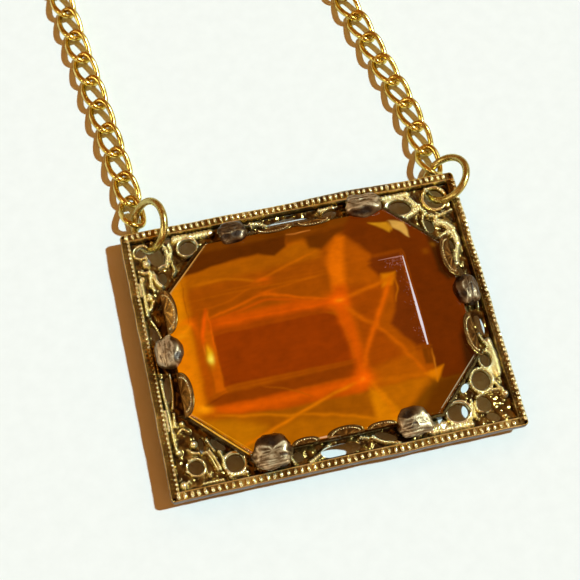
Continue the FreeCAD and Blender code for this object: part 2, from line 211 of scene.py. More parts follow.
class Graph:
    """A material's nodes, in millimetres of the piece's own space."""

    def __init__(self, name):
        self.material = bpy.data.materials.new(name)
        self.material.use_nodes = True
        self.tree = self.material.node_tree
        self.shader = self.tree.nodes["Principled BSDF"]
        coords = self.tree.nodes.new("ShaderNodeTexCoord")
        scaled = self.tree.nodes.new("ShaderNodeVectorMath")
        scaled.operation = "SCALE"
        scaled.inputs["Scale"].default_value = 1 / MM
        self.link(coords.outputs["Object"], scaled.inputs[0])
        self.mm = scaled.outputs[0]

    def link(self, a, b):
        self.tree.links.new(a, b)

    def set(self, **values):
        for key, value in values.items():
            self.shader.inputs[key.replace("_", " ")].default_value = value

    def noise(self, scale, detail=3.0):
        node = self.tree.nodes.new("ShaderNodeTexNoise")
        node.inputs["Scale"].default_value = scale
        node.inputs["Detail"].default_value = detail
        node.inputs["Roughness"].default_value = NOISE_ROUGHNESS
        self.link(self.mm, node.inputs["Vector"])
        return node.outputs["Fac"]

    def painted(self, layer):
        node = self.tree.nodes.new("ShaderNodeAttribute")
        node.attribute_name = layer
        return node.outputs["Color"]

    def math(self, operation, a, b):
        node = self.tree.nodes.new("ShaderNodeMath")
        node.operation = operation
        for socket, value in zip(node.inputs, (a, b)):
            if isinstance(value, (int, float)):
                socket.default_value = value
            else:
                self.link(value, socket)
        return node.outputs[0]

    def ramp(self, factor, stops):
        """A colour or a number by the factor: stops are a position and the value there."""
        node = self.tree.nodes.new("ShaderNodeValToRGB")
        elements = node.color_ramp.elements
        while len(elements) < len(stops):
            elements.new(0.5)
        for element, (position, value) in zip(elements, stops):
            element.position = position
            element.color = (*value, 1) if hasattr(value, "__len__") else (value,) * 3 + (1,)
        self.link(factor, node.inputs["Fac"])
        return node.outputs["Color"]

    def bump(self, height, strength, distance_mm):
        node = self.tree.nodes.new("ShaderNodeBump")
        node.inputs["Strength"].default_value = strength
        node.inputs["Distance"].default_value = distance_mm * MM
        self.link(height, node.inputs["Height"])
        self.link(node.outputs["Normal"], self.shader.inputs["Normal"])

    def colour(self, output):
        self.link(output, self.shader.inputs["Base Color"])

    def roughness(self, output):
        self.link(output, self.shader.inputs["Roughness"])


def toned_metal(name, stops, rough=(0.22, 0.5), grain=2.2, spread=0.9, bump=0.35,
                metallic=1.0):
    """Metal whose colour runs from recess to crest, broken up by wear."""
    g = Graph(name)
    g.set(Metallic=metallic)
    wear = g.math("MULTIPLY", g.math("SUBTRACT", g.noise(grain), 0.5), spread)
    g.colour(g.ramp(g.math("ADD", g.painted("tone"), wear), stops))
    g.roughness(g.ramp(g.noise(grain * 1.7), [(0.35, rough[0]), (0.7, rough[1])]))
    g.bump(g.noise(grain * 3.0, 4.0), bump, 0.06)
    return g.material


def wire_metal(name, low, high, rough=(0.12, 0.3)):
    """Polished wire: two close colours in soft patches and fine draw marks."""
    g = Graph(name)
    g.set(Metallic=1.0)
    g.colour(g.ramp(g.noise(0.9), [(0.3, low), (0.7, high)]))
    g.roughness(g.ramp(g.noise(2.5), [(0.3, rough[0]), (0.75, rough[1])]))
    g.bump(g.noise(6.0, 4.0), 0.15, 0.02)
    return g.material


CASTING = toned_metal("antique_casting", [
    (0.05, (0.070, 0.038, 0.010)), (0.28, (0.27, 0.175, 0.038)),
    (0.46, (0.86, 0.68, 0.22)), (0.74, (1.0, 0.96, 0.60))],
    rough=(0.13, 0.26), grain=1.2, spread=0.34, bump=0.12, metallic=0.86)
RIM_SIDE = toned_metal("rim_side", [
    (0.1, (0.10, 0.072, 0.050)), (0.9, (0.27, 0.20, 0.15))],
    rough=(0.35, 0.55), grain=0.8, spread=0.8, bump=0.2, metallic=0.5)
SEAT_METAL = toned_metal("seat_casting", [
    (0.1, (0.09, 0.058, 0.018)), (0.9, (0.36, 0.27, 0.09))])
PETAL_METAL = toned_metal("petal_casting", [
    (0.05, (0.050, 0.026, 0.008)), (0.35, (0.20, 0.120, 0.026)),
    (0.65, (0.74, 0.55, 0.18)), (0.92, (1.0, 0.93, 0.58))],
    rough=(0.12, 0.26), grain=1.4, spread=0.40, bump=0.12, metallic=0.88)
CLAW_METAL = toned_metal("worn_bronze", [
    (0.06, (0.030, 0.016, 0.007)), (0.30, (0.110, 0.062, 0.024)),
    (0.58, (0.22, 0.150, 0.068)), (0.95, (0.58, 0.46, 0.27))],
    rough=(0.26, 0.50), grain=1.8, spread=0.34, bump=0.25, metallic=0.6)
RING_METAL = wire_metal("ring_brass", (0.40, 0.33, 0.085), (0.62, 0.52, 0.17),
                        rough=(0.2, 0.38))
CHAIN_METAL = wire_metal("chain_gold", (0.50, 0.36, 0.060), (0.90, 0.69, 0.17))
SPRING_METAL = wire_metal("spring_steel", (0.45, 0.45, 0.46), (0.62, 0.62, 0.64))


# ---- chain ----
PITCH, LINK_W = 3.95, 3.4  # of the CAD link
LINK_WIDER, LINK_PLAY = 0.10, 0.16  # added to the shown link's width and length
# the shown wire, and that of a chain's last link, where the end ring needs room
SHOWN_WIRE, END_WIRE, SHOWN_TWIST = 0.78, 0.56, math.radians(33.0)
LINK_POINTS, LINK_SIDES = 44, 14
CHAIN_Z = 1.02
HINGED = {"left": 10, "right": 8}


def link_line():
    """The wire's centreline: a rounded oval, twisted so that the link lies flat."""
    half_w = (LINK_W + LINK_WIDER - SHOWN_WIRE) / 2
    tip = (PITCH + LINK_PLAY + SHOWN_WIRE) / 2
    line = []
    for k in range(LINK_POINTS):
        a = 2 * math.pi * k / LINK_POINTS
        x, y = half_w * squared(math.cos(a), 0.90), squared(math.sin(a), 0.92)
        line.append(Vector((x, tip * y, x * 1.4 * y * math.sin(SHOWN_TWIST))))
    return line


LINK_LINE = link_line()


def add_link(builder, centre, along, up, wire=SHOWN_WIRE):
    """One link at centre, its long way along `along`."""
    along = Vector(along).normalized()
    across = along.cross(Vector(up)).normalized()
    turn = Matrix((across, along, across.cross(along))).transposed()
    points = [Vector(centre) + turn @ p for p in LINK_LINE]
    builder.tube(points, wire / 2, LINK_SIDES, closed=True)


def link_frame(node):
    """Centre, long axis and thin axis of a CAD link, from its vertices."""
    co = np.array([v.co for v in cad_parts[node].data.vertices], float) / MM
    centre = (co.min(0) + co.max(0)) / 2
    _, axes = np.linalg.eigh(np.cov((co - centre).T))
    return centre, axes[:, 2], axes[:, 0]


def hinged_links(side):
    for i in range(1, HINGED[side] + 1):
        name = f"{side}_link_{i:02d}"
        builder = Builder()
        add_link(builder, *link_frame(name))
        finished(builder.made("curb_" + name), name, "chain_gold", CHAIN_METAL, name)


# The chain that is put away: from the last hinged link along the table, into a flat coil.
# A NURBS line runs inside the control points of a coil, so they stand out by CONTROL_OUT.
COIL_R, COIL_STEP, TURN_POINTS, INNER_POINTS = 17.8, 3.6, 16, 5
CONTROL_OUT = 1.0 / 0.981
FIRST_LINK_AT, LAST_LINK_BACK = 1.215, 2.15  # from the line's start, and from its end
# start, run along the table, coil's centre, its turns, and the line's end from that centre
CORDS = {
    "left": ((-24.871, 59.915), [(-25.15, 63.5), (-25.95, 70.0)], (-8.5, 77.0), 1.20,
             (8.44, 2.5)),
    "right": ((15.524, 50.997), [(14.10, 55.5), (13.20, 61.5)], (30.8, 68.2), 1.28,
              (7.6, -3.3)),
}


def cord_route(start, run, coil, turns, end):
    """The control points of one put-away chain, in millimetres."""
    points = [start, *run]

    def add(r, a):
        points.append((coil[0] + r * math.cos(a), coil[1] + r * math.sin(a)))

    for k in range(int(turns * TURN_POINTS) + 1):
        a0 = math.pi - 2 * math.pi * k / TURN_POINTS
        r0 = (COIL_R - COIL_STEP * k / TURN_POINTS) * CONTROL_OUT
        add(r0, a0)
    r1, a1 = math.hypot(*end), math.atan2(end[1], end[0])
    while a1 > a0:
        a1 -= 2 * math.pi
    for k in range(1, INNER_POINTS + 1):
        t = k / INNER_POINTS
        add(r0 + (r1 - r0) * t * t, a0 + (a1 - a0) * t)
    return points


def nurbs_path(name, points):
    """The NURBS line through the control points, as a list of points in millimetres."""
    curve = bpy.data.curves.new(name, "CURVE")
    curve.dimensions = "3D"
    curve.resolution_u = 10
    spline = curve.splines.new("NURBS")
    spline.points.add(len(points) - 1)
    for spot, (x, y) in zip(spline.points, points):
        spot.co = (x * MM, y * MM, CHAIN_Z * MM, 1)
    spline.order_u = 3
    spline.use_endpoint_u = True
    obj = bpy.data.objects.new(name, curve)
    mesh = bpy.data.meshes.new_from_object(obj)
    line = [v.co / MM for v in mesh.vertices]
    bpy.data.objects.remove(obj)
    bpy.data.meshes.remove(mesh)
    return line


class Along:
    """Walks a polyline by length."""

    def __init__(self, line):
        self.line = line
        self.at = [0.0]
        for a, b in zip(line, line[1:]):
            self.at.append(self.at[-1] + (b - a).length)
        self.length = self.at[-1]

    def spot(self, s):
        s = min(max(s, 0.0), self.length)
        i = min(max(int(np.searchsorted(self.at, s)) - 1, 0), len(self.line) - 2)
        t = (s - self.at[i]) / max(self.at[i + 1] - self.at[i], 1e-9)
        return self.line[i].lerp(self.line[i + 1], t)


def put_away_chain(side):
    walk = Along(nurbs_path(f"{side}_route", cord_route(*CORDS[side])))
    room = walk.length - FIRST_LINK_AT - LAST_LINK_BACK
    count = round(room / PITCH)
    builder = Builder()
    for k in range(count + 1):
        s = FIRST_LINK_AT + k * (room / count)
        back = walk.spot(s - PITCH / 2 if k else 0)
        add_link(builder, walk.spot(s), walk.spot(s + PITCH / 2) - back, UP,
                 END_WIRE if k == count else SHOWN_WIRE)
    chain = builder.made(f"{side}_put_away_chain")
    finished(chain, f"{side}_link_{HINGED[side]:02d}", "chain_gold", CHAIN_METAL,
             f"{side}_chain_run", f"{side}_chain_coil")


def make_chain():
    hinged_links("left")
    hinged_links("right")
    for node in ("left_end_ring", "right_end_ring", "clasp_body", "clasp_trigger", "end_tag"):
        smooth_node(node, CHAIN_METAL)
    smooth_node("clasp_spring", SPRING_METAL)
    put_away_chain("left")
    put_away_chain("right")


make_chain()


# ---- casting: the pierced relief between the rim and the stone ----
FRAME_W, FRAME_H, RIM_WALL, RIM_OVERLAP = 46.0, 36.0, 1.2, 0.1
IN_X, IN_Y = FRAME_W / 2 - RIM_WALL, FRAME_H / 2 - RIM_WALL
STONE_W, STONE_H, STONE_CUT = 38.4, 29.0, 6.6
# the seat's wall and cut corner, and how far past it the corner panels reach
SEAT_WALL, SEAT_CUT, CORNER_MORE = 0.3, 6.8, 0.8
SEAT_X, SEAT_Y = STONE_W / 2 + SEAT_WALL, STONE_H / 2 + SEAT_WALL
CORNER_X, CORNER_Y = SEAT_X - SEAT_CUT - CORNER_MORE, SEAT_Y - SEAT_CUT - CORNER_MORE
PANEL_LOW, RECESS_Z, CREST_Z = 2.0, 2.25, 3.12
RELIEF_STEP = 0.07                      # the relief's mesh size
GROUND_RISE, GROUND_ROUGH = 0.12, 0.22  # of the ground between the ribs
GROOVE_LEFT = 0.50                      # what is left of a rib's height in the hatching's grooves
WALL_TONE = 0.15                        # of the holes' walls and the underside

# holes: x, y, half width, half height, turn in degrees
HOLES = [
    # top left
    (-20.75, 15.65, 0.8, 0.62, 25), (-19, 14.75, 1.02, 1.62, 22), (-18.65, 11.4, 0.62, 0.92, -8),
    (-14.6, 14.95, 1.15, 1, 20), (-17, 16.75, 0.42, 0.45, 0),
    # top right
    (19.8, 15.2, 1.35, 1.35, 0), (14.75, 14.75, 1.55, 1.05, -12), (18.05, 11.4, 0.62, 1.05, 12),
    # bottom left
    (-19.35, -14.3, 0.95, 0.85, -25), (-14.5, -14.75, 1.1, 1.1, -30),
    (-18.25, -11.7, 0.34, 1.1, -8), (-16.15, -11.95, 0.5, 1.15, 45),
    # bottom right
    (20.15, -8.5, 0.68, 0.88, 0), (18.8, -11.05, 1.18, 1.3, -15), (18.35, -14.2, 1, 1.1, 0),
    (19.15, -16, 0.9, 0.6, -25), (14.75, -14.55, 1.38, 1.12, 10),
    (16.55, -11.55, 0.42, 0.75, -45),
    # top strip
    (-5.5, 15.45, 0.62, 0.4, 0), (-0.6, 15.7, 3.1, 0.72, 0), (5.1, 15.8, 1.1, 0.62, 15),
    # bottom strip
    (-6.6, -15.7, 0.72, 0.68, -20), (-1.1, -16, 2.65, 0.8, 0), (4.9, -15.6, 1.5, 0.6, -22),
    # left strip
    (-21.15, 3.9, 0.42, 1.35, 12), (-20.85, -3.6, 0.48, 1.75, -6),
    # right strip
    (20.55, 3.9, 0.4, 1.2, 5), (20.85, -3.6, 0.55, 1.45, 5), (20.35, 8.1, 0.3, 0.9, 0),
]

# ridges: half width, height as a share of the crest, pitch of the hatching (0: smooth),
# then x and y of each point
RIDGES = [
    # top left: inner row of bars, beaded double rib, scrolls
    (0.5, 1, 0.52, -16, 16.55, -11.2, 16.45),
    (0.28, 1, 0.5, -17.8, 16.1, -17.35, 15, -17.45, 13.9, -17.75, 12.9),
    (0.22, 0.95, 0.44, -16.95, 15.9, -16.75, 15, -17, 14.2, -17.2, 13.6),
    (0.2, 1, 0, -18.8, 12.8, -18.3, 13.1, -17.6, 13),
    (0.26, 1.05, 0, -19.6, 12, -19.5, 11, -18.9, 10.2),
    (0.2, 0.95, 0, -21.5, 12.9, -20.9, 12.5, -20.1, 12.6),
    (0.24, 0.8, 0.36, -20, 12.4, -20.3, 11.2, -20, 9.9),
    (0.18, 0.95, 0.4, -17, 12.9, -16.7, 12, -17.2, 11.5),
    (0.26, 1, 0.42, -21.45, 11.6, -21.45, 6.7),
    (0.26, 1, 0.6, -20.8, 9.4, -20.2, 8.4, -20.9, 7.4),
    (0.16, 0.8, 0, -21.2, 5.9, -20.6, 4.5, -20.3, 3.2),
    (0.2, 0.45, 0.6, -21.6, 2.4, -21.6, -1.6),
    # bottom left
    (0.22, 0.95, 0.5, -21.55, -2.4, -21.45, -6, -21.35, -11.4),
    (0.18, 0.8, 0, -20.25, -1.8, -20.25, -4.2, -20.7, -6.2),
    (0.22, 0.95, 0.4, -20.7, -7, -20.9, -8.6),
    (0.15, 1, 0, -17.45, -11, -17.1, -12, -16.7, -12.7),
    (0.15, 1.05, 0, -17.75, -12.6, -17.2, -13.7, -16.8, -15.2),
    (0.15, 1.05, 0, -17.35, -12.5, -16.8, -13.6, -16.4, -15.2),
    (0.2, 1, 0.42, -16.2, -12.9, -15.85, -13.7, -15.8, -15),
    (0.16, 0.95, 0, -19.3, -13.15, -18.7, -13.4, -18.3, -13.9),
    (0.18, 0.85, 0, -20, -11.9, -19.3, -12.5, -18, -12.7),
    (0.18, 0.6, 0, -20.6, -9.4, -20.1, -9, -19.3, -9.6),
    (0.24, 0.85, 0.4, -15.6, -15.9, -14.7, -16.3, -13.2, -16.2),
    (0.22, 0.8, 0.42, -18.8, -16.5, -16.4, -16.5),
    # bottom right
    (0.52, 1, 0.34, 21.15, -6.2, 21.4, -8.2, 21.25, -10.4),
    (0.26, 1, 0.34, 20.2, -5.1, 20.6, -6.2, 21, -6.8),
    (0.2, 1, 0.36, 20.45, -7.2, 19.4, -7.4, 18.6, -8.3),
    (0.24, 0.95, 0.36, 20.4, -9.8, 20.4, -11.4, 20.9, -12.5),
    (0.2, 1, 0.44, 16.75, -13.3, 16.7, -14.6, 16.9, -15.9),
    (0.22, 1, 0.4, 17.6, -13.1, 18.6, -12.75, 20, -12.55, 21.2, -12.7),
    (0.16, 0.95, 0, 17.3, -13.6, 17.15, -14.6, 17.6, -15.2, 18.8, -15.2),
    (0.46, 1, 0.58, 12.7, -16.3, 16, -16.3),
    (0.8, 1, 0.42, 10.9, -15.9, 12.1, -15.8),
    (0.28, 1, 0.38, 3.2, -15.3, 4.2, -16.2, 6.4, -16.7),
    # top right
    (0.4, 1.05, 0.55, 12.7, 16.5, 16.1, 16.5),
    (0.18, 1.05, 0, 13.1, 15.9, 12.8, 15.1),
    (0.27, 1.1, 0.42, 16.2, 15.9, 16.9, 14.9, 17.7, 13.7, 17.95, 13.2),
    (0.4, 1, 0.4, 16.9, 14, 16, 13.5, 15.2, 13.2),
    (0.22, 1, 0.46, 18.4, 12.75, 19.3, 12.5, 20.3, 12.7, 21.5, 13),
    (0.5, 1.1, 0.42, 19.1, 11.8, 20.2, 11.2, 20.9, 10.3, 21, 9, 20.95, 8),
    (0.34, 1.05, 0.38, 20.2, 9.9, 19.4, 9.7, 18.7, 9.2),
    (0.46, 1.05, 0.4, 20.9, 7.9, 20.4, 6.9, 20.1, 5.4),
    (0.22, 1, 0.42, 17.5, 12.9, 17.15, 12, 17.3, 11.1, 17.55, 10.3),
    (0.18, 0.9, 0, 21.2, 2.6, 21.5, 1.6, 21.5, 0.2, 21.2, -1.4),
    # top strip
    (0.36, 1, 0.4, -5.7, 16.5, -4.4, 16.3, -3.7, 15.7, -3, 15.1),
    (0.14, 0.8, 0, -6.6, 16.6, -5.6, 16.2, -5.6, 15.4),
    (0.34, 1, 0.36, 3.9, 16.55, 5.8, 16.6),
    (0.16, 1, 0, 4.2, 16, 5.2, 16.3, 6.4, 16.6),
    (0.26, 0.95, 0, 2.6, 15.1, 3.3, 15.3),
    # bottom strip
    (0.3, 1, 0.38, -2.6, -15.2, -3.9, -16.1, -5.2, -16.7),
    (0.24, 1, 0.38, 1.7, -15, 2.6, -15.3),
    (0.24, 1, 0.4, -7.6, -15.6, -7.2, -16.5),
]

# raised rings round the holes, as a hole's form, then half width, height, pitch
COLLARS = [
    (-20.7, 15.6, 1.06, 0.9, 25, 0.18, 0.75, 0), (-14.6, 14.95, 1.38, 1.24, 20, 0.18, 1.05, 0),
    (19.8, 15.2, 1.66, 1.66, 0, 0.24, 0.62, 0), (14.75, 14.75, 1.8, 1.28, -12, 0.2, 1, 0.5),
    (-19.35, -14.3, 1.18, 1.08, -25, 0.16, 0.7, 0),
    (-14.5, -14.75, 1.4, 1.38, -30, 0.24, 0.8, 0), (20.15, -8.5, 0.95, 1.14, 0, 0.2, 1, 0.36),
    (18.8, -11.05, 1.48, 1.6, -15, 0.27, 1.05, 0.4),
    (14.75, -14.55, 1.66, 1.4, 10, 0.22, 1.05, 0),
]

# grains: x, y, radius, height of the top as a share of the crest
GRAINS = [
    (-20.4, 13.75, 0.62, 1.3), (-21.3, 11.8, 0.46, 0.85), (-20.9, 8.9, 0.34, 1.05),
    (-20.3, 8.3, 0.36, 1.05), (-20.1, 14.5, 0.24, 1), (-19.1, 16.6, 0.34, 0.95),
    (-17.1, 11.6, 0.3, 1), (-16.9, 12.8, 0.24, 1), (-20.4, 10.6, 0.28, 0.8),
    (-19.1, -11.35, 0.56, 1.25), (-21.15, -12, 0.5, 1.15), (-20, -13.4, 0.34, 1.3),
    (-21.3, -16.2, 0.6, 1.2), (-20.6, -15.9, 0.3, 1.05), (-17.9, -15.6, 0.36, 1.15),
    (-18.6, -12.6, 0.26, 1), (-20, -8.4, 0.4, 0.8), (-21.2, -9.6, 0.22, 1),
    (-21.2, -10.3, 0.22, 1), (-21.2, -10.9, 0.22, 1), (-16, -13, 0.28, 1.1),
    (-20.6, -14.6, 0.26, 0.9), (-15.4, -16.4, 0.3, 1), (21.3, -13.45, 0.58, 1.35),
    (18.95, -15.55, 0.42, 1.25), (20.6, -16.2, 0.3, 0.6), (16.3, -15.6, 0.3, 1.1),
    (18, -12.9, 0.2, 1), (18.8, 16.55, 0.42, 1.2), (20.9, 16.3, 0.3, 0.7),
    (11.6, 15.8, 0.4, 1.2), (16.75, 15.15, 0.28, 1.2), (17.45, 14.5, 0.26, 1.15),
    (17.85, 13.4, 0.3, 1.2), (20, 9.8, 0.42, 1.2), (21.1, 10.2, 0.4, 1.2),
]


def pairs(row):
    """The points of a row of x, y, x, y and so on."""
    return list(zip(row[::2], row[1::2]))


def polyline_field(x, y, points):
    """Distance to a polyline and the length along it, for arrays of places."""
    best = np.full(x.shape, 1e9)
    along = np.zeros(x.shape)
    run = 0.0
    for (ax, ay), (bx, by) in zip(points, points[1:]):
        dx, dy = bx - ax, by - ay
        length = math.hypot(dx, dy)
        t = np.clip(((x - ax) * dx + (y - ay) * dy) / length ** 2, 0, 1)
        d = np.hypot(x - ax - t * dx, y - ay - t * dy)
        along = np.where(d < best, run + t * length, along)
        best = np.minimum(d, best)
        run += length
    return best, along


def softened(points):
    """A polyline with its corners rounded, by cutting them three times."""
    for _ in range(3):
        cut = [points[0]]
        for (ax, ay), (bx, by) in zip(points, points[1:]):
            cut += [(ax * 0.75 + bx * 0.25, ay * 0.75 + by * 0.25),
                    (ax * 0.25 + bx * 0.75, ay * 0.25 + by * 0.75)]
        points = cut + [points[-1]]
    return points


def ellipse(cx, cy, rx, ry, turn, count=40):
    a0 = math.radians(turn)
    points = []
    for k in range(count + 1):
        a = 2 * math.pi * k / count
        u, v = rx * math.cos(a), ry * math.sin(a)
        points.append((cx + u * math.cos(a0) - v * math.sin(a0),
                       cy + u * math.sin(a0) + v * math.cos(a0)))
    return points


def hole_radius(x, y, hole):
    """1 on a hole's edge, less inside it."""
    cx, cy, rx, ry, turn = hole
    a = math.radians(turn)
    u = (x - cx) * math.cos(a) + (y - cy) * math.sin(a)
    v = -(x - cx) * math.sin(a) + (y - cy) * math.cos(a)
    return np.hypot(u / rx, v / ry)


def noise_field(x, y, *layers):
    """Noise for arrays of places; a layer is its scale in x and y, its seed and its share."""
    return np.array([sum(share * noise.noise(Vector((a * across, b * up, seed)))
                         for across, up, seed, share in layers)
                     for a, b in zip(x.ravel(), y.ravel())]).reshape(x.shape)


def raised(d, radius, high):
    """The height of a round-topped form at distance d from its middle."""
    return RECESS_Z + (CREST_Z - RECESS_Z) * high * np.sqrt(np.clip(1 - (d / radius) ** 2, 0, 1))


def relief_height(x, y):
    """Height of the casting's face: hatched ribs, collars and grains on a rough ground."""
    rough = noise_field(x, y, (1.3, 1.3, 0.3, 1), (3.1, 3.1, 3.3, 0.25))
    z = RECESS_Z + GROUND_RISE + GROUND_ROUGH * rough
    groove = np.ones(x.shape)
    ribs = [(softened(pairs(row[3:])), *row[:3]) for row in RIDGES]
    ribs += [(ellipse(*row[:5]), *row[5:]) for row in COLLARS]
    for points, half, high, pitch in ribs:
        d, s = polyline_field(x, y, points)
        cut = 1.0
        if pitch:
            wave = np.abs(np.cos(math.pi * (s + 0.10 * rough) / pitch))
            cut = GROOVE_LEFT + (1 - GROOVE_LEFT) * np.sqrt(wave)
        rib = raised(d, half * (1.28 + 0.25 * rough), high)
        groove = np.where(rib > z, cut, groove)
        z = np.maximum(z, rib)
    for gx, gy, radius, high in GRAINS:
        grain = raised(np.hypot(x - gx, y - gy), radius, high)
        groove = np.where(grain > z, 1, groove)
        z = np.maximum(z, grain)
    z = z + 0.02 * rough
    for axis in (0, 1):  # a light blur, and the grooves are cut after it
        pad = np.concatenate([z.take([0], axis), z, z.take([-1], axis)], axis)
        count = z.shape[axis]
        z = (pad.take(range(count), axis) + 2 * z + pad.take(range(2, count + 2), axis)) / 4
    return RECESS_Z + (z - RECESS_Z) * groove


def relief(name, low, high, inside):
    """A pierced plate with the relief on its face, over the cells that are inside."""
    nx = max(2, round((high[0] - low[0]) / RELIEF_STEP))
    ny = max(2, round((high[1] - low[1]) / RELIEF_STEP))
    gx, gy = np.meshgrid(np.linspace(low[0], high[0], nx + 1),
                         np.linspace(low[1], high[1], ny + 1), indexing="ij")
    cx = (gx[:-1, :-1] + gx[1:, 1:]) / 2
    cy = (gy[:-1, :-1] + gy[1:, 1:]) / 2
    keep = inside(cx, cy)
    for hole in HOLES:  # the grid's points beside a hole are moved onto its edge
        keep &= hole_radius(cx, cy, hole) > 1
        rho = hole_radius(gx, gy, hole)
        near = np.abs(rho - 1) < 0.75 * RELIEF_STEP / min(hole[2], hole[3])
        scale = np.where(near, 1 / np.maximum(rho, 1e-6), 1)
        gx = hole[0] + (gx - hole[0]) * scale
        gy = hole[1] + (gy - hole[1]) * scale
    gz = relief_height(gx, gy)
    tone = np.clip((gz - RECESS_Z) / (CREST_Z - RECESS_Z), 0, 1)
    used = np.zeros(gx.shape, bool)
    for di in (0, 1):
        for dj in (0, 1):
            used[di:nx + di, dj:ny + dj] |= keep
    count = int(used.sum())
    index = np.full(gx.shape, -1)
    index[used] = np.arange(count)
    top = np.stack([gx[used], gy[used], gz[used]], 1)
    bottom = np.stack([gx[used], gy[used], np.full(count, PANEL_LOW)], 1)
    faces = []
    kept = {(int(i), int(j)) for i, j in np.argwhere(keep)}
    for i, j in kept:
        a, b = int(index[i, j]), int(index[i + 1, j])
        c, d = int(index[i + 1, j + 1]), int(index[i, j + 1])
        faces.append((a, b, c, d))
        faces.append((count + d, count + c, count + b, count + a))
        for beside, (p, q) in (((i, j - 1), (a, b)), ((i + 1, j), (b, c)),
                               ((i, j + 1), (c, d)), ((i - 1, j), (d, a))):
            if beside not in kept:
                faces.append((p, count + p, count + q, q))
    builder = Builder()
    builder.add([*top, *bottom], sorted(faces), [*tone[used], *([WALL_TONE] * count)])
    return builder.made(name, sharp=62)


def make_casting():
    for sx, across in ((-1, "left"), (1, "right")):
        for sy, up in ((1, "top"), (-1, "bottom")):
            xs = sorted((sx * CORNER_X, sx * (IN_X + RIM_OVERLAP)))
            ys = sorted((sy * CORNER_Y, sy * (IN_Y + RIM_OVERLAP)))
            piece = relief(f"filigree_{up}_{across}", (xs[0], ys[0]), (xs[1], ys[1]),
                           lambda x, y: x * sx + y * sy > SEAT_X + SEAT_Y - SEAT_CUT)
            finished(piece, "pendant", "antique_brass", CASTING, f"corner_panel_{up}_{across}")
    strips = {
        "top": ((-CORNER_X, SEAT_Y), (CORNER_X, IN_Y + RIM_OVERLAP)),
        "bottom": ((-CORNER_X, -IN_Y - RIM_OVERLAP), (CORNER_X, -SEAT_Y)),
        "left": ((-IN_X - RIM_OVERLAP, -CORNER_Y), (-SEAT_X, CORNER_Y)),
        "right": ((SEAT_X, -CORNER_Y), (IN_X + RIM_OVERLAP, CORNER_Y)),
    }
    for side, (low, high) in strips.items():
        piece = relief(f"filigree_{side}", low, high, lambda x, y: np.ones(x.shape, bool))
        finished(piece, "pendant", "antique_brass", CASTING, f"edge_panel_{side}")
    smooth_node("stone_seat", SEAT_METAL)


# ---- rim with its milled bars and beads ----
RIM_LEFT, RIM_RIGHT, RIM_FRONT, RIM_BACK = -23.15, 23.2, -18.1, 18.45
RIM_ROUND, RIM_CORNER_STEPS, RIM_STEP = 0.55, 5, 0.5
# the rim's section: distance inside the outer edge, height, tone
RIM_SECTION = [(0.06, 1.80, 0.15), (0.0, 1.95, 0.26), (0.0, 2.85, 0.32), (0.06, 3.02, 0.50),
               (0.14, 3.06, 0.55), (0.22, 2.94, 0.26), (0.98, 2.92, 0.26), (1.03, 3.06, 0.55),
               (1.15, 3.06, 0.50), (1.26, 2.70, 0.22), (1.42, 2.45, 0.12), (1.42, 1.80, 0.1)]
BAR_ROWS = [(RIM_BACK, 1, 0.80), (RIM_FRONT, -1, 0.87)]  # edge, which way is out, pitch
LEFT_PITCH, RIGHT_PITCH = 0.60, 0.70
LEFT_WORN = (-2.4, 2.2)                   # where the left side's beads are worn dull
LEFT_WIRES = [(9.2, 11.1), (-9.2, -6.4)]  # and where it has smooth wire beside them


def rim_line():
    """Places round the rim's outer edge, with the outward direction at each."""
    a, b, c, d = (RIM_RIGHT - RIM_ROUND, RIM_BACK - RIM_ROUND, RIM_LEFT + RIM_ROUND,
                  RIM_FRONT + RIM_ROUND)
    out = []
    corners = [(a, b, 0), (c, b, 90), (c, d, 180), (a, d, 270)]
    for i, (x, y, start) in enumerate(corners):
        for k in range(RIM_CORNER_STEPS + 1):
            t = math.radians(start + 90 // RIM_CORNER_STEPS * k)
            out.append((x + RIM_ROUND * math.cos(t), y + RIM_ROUND * math.sin(t), t))
        nx, ny, _ = corners[(i + 1) % 4]
        t = math.radians(start + 90)
        steps = int(math.hypot(nx - x, ny - y) / RIM_STEP)
        for k in range(1, steps):
            s = k / steps
            out.append((x + (nx - x) * s + RIM_ROUND * math.cos(t),
                        y + (ny - y) * s + RIM_ROUND * math.sin(t), t))
    return out


def rim_sway(x, y):
    """How far the rim's edge wanders outward at a place."""
    wave = 0.10 * noise.noise(Vector((x * 0.3, y * 0.3, 1.7)))
    bulge = 0.22 * math.exp(-((x - 8) / 5) ** 2) if y > 0 else 0.0
    return wave + bulge + 0.03 * noise.noise(Vector((x * 1.5, y * 1.5, 5.0)))


def rim_band(builder):
    """The band that the bars and beads stand on: its section, carried round the rim."""
    verts, tones = [], []
    line = rim_line()
    for x, y, t in line:
        sway = rim_sway(x, y)
        lift = 0.05 * noise.noise(Vector((x * 0.25, y * 0.25, 8.1)))
        worn = 0.22 * noise.noise(Vector((x * 0.8, y * 0.8, 2.2)))
        inner = 0.45 if math.cos(t) > 0.9 else 1.0
        for inside, z, tone in RIM_SECTION:
            tone *= inner if inside > 0.9 else 1.0
            u = sway * (inside < 1.0) - inside
            verts.append((x + u * math.cos(t), y + u * math.sin(t), z + (lift if z > 2 else 0)))
            tones.append(tone + worn)
    n, m = len(line), len(RIM_SECTION)
    faces = []
    for i in range(n):
        for k in range(m):
            a, b = i * m + k, i * m + (k + 1) % m
            c, d = (i + 1) % n * m + (k + 1) % m, (i + 1) % n * m + k
            faces.append((a, d, c, b))
    builder.add(verts, faces, tones)


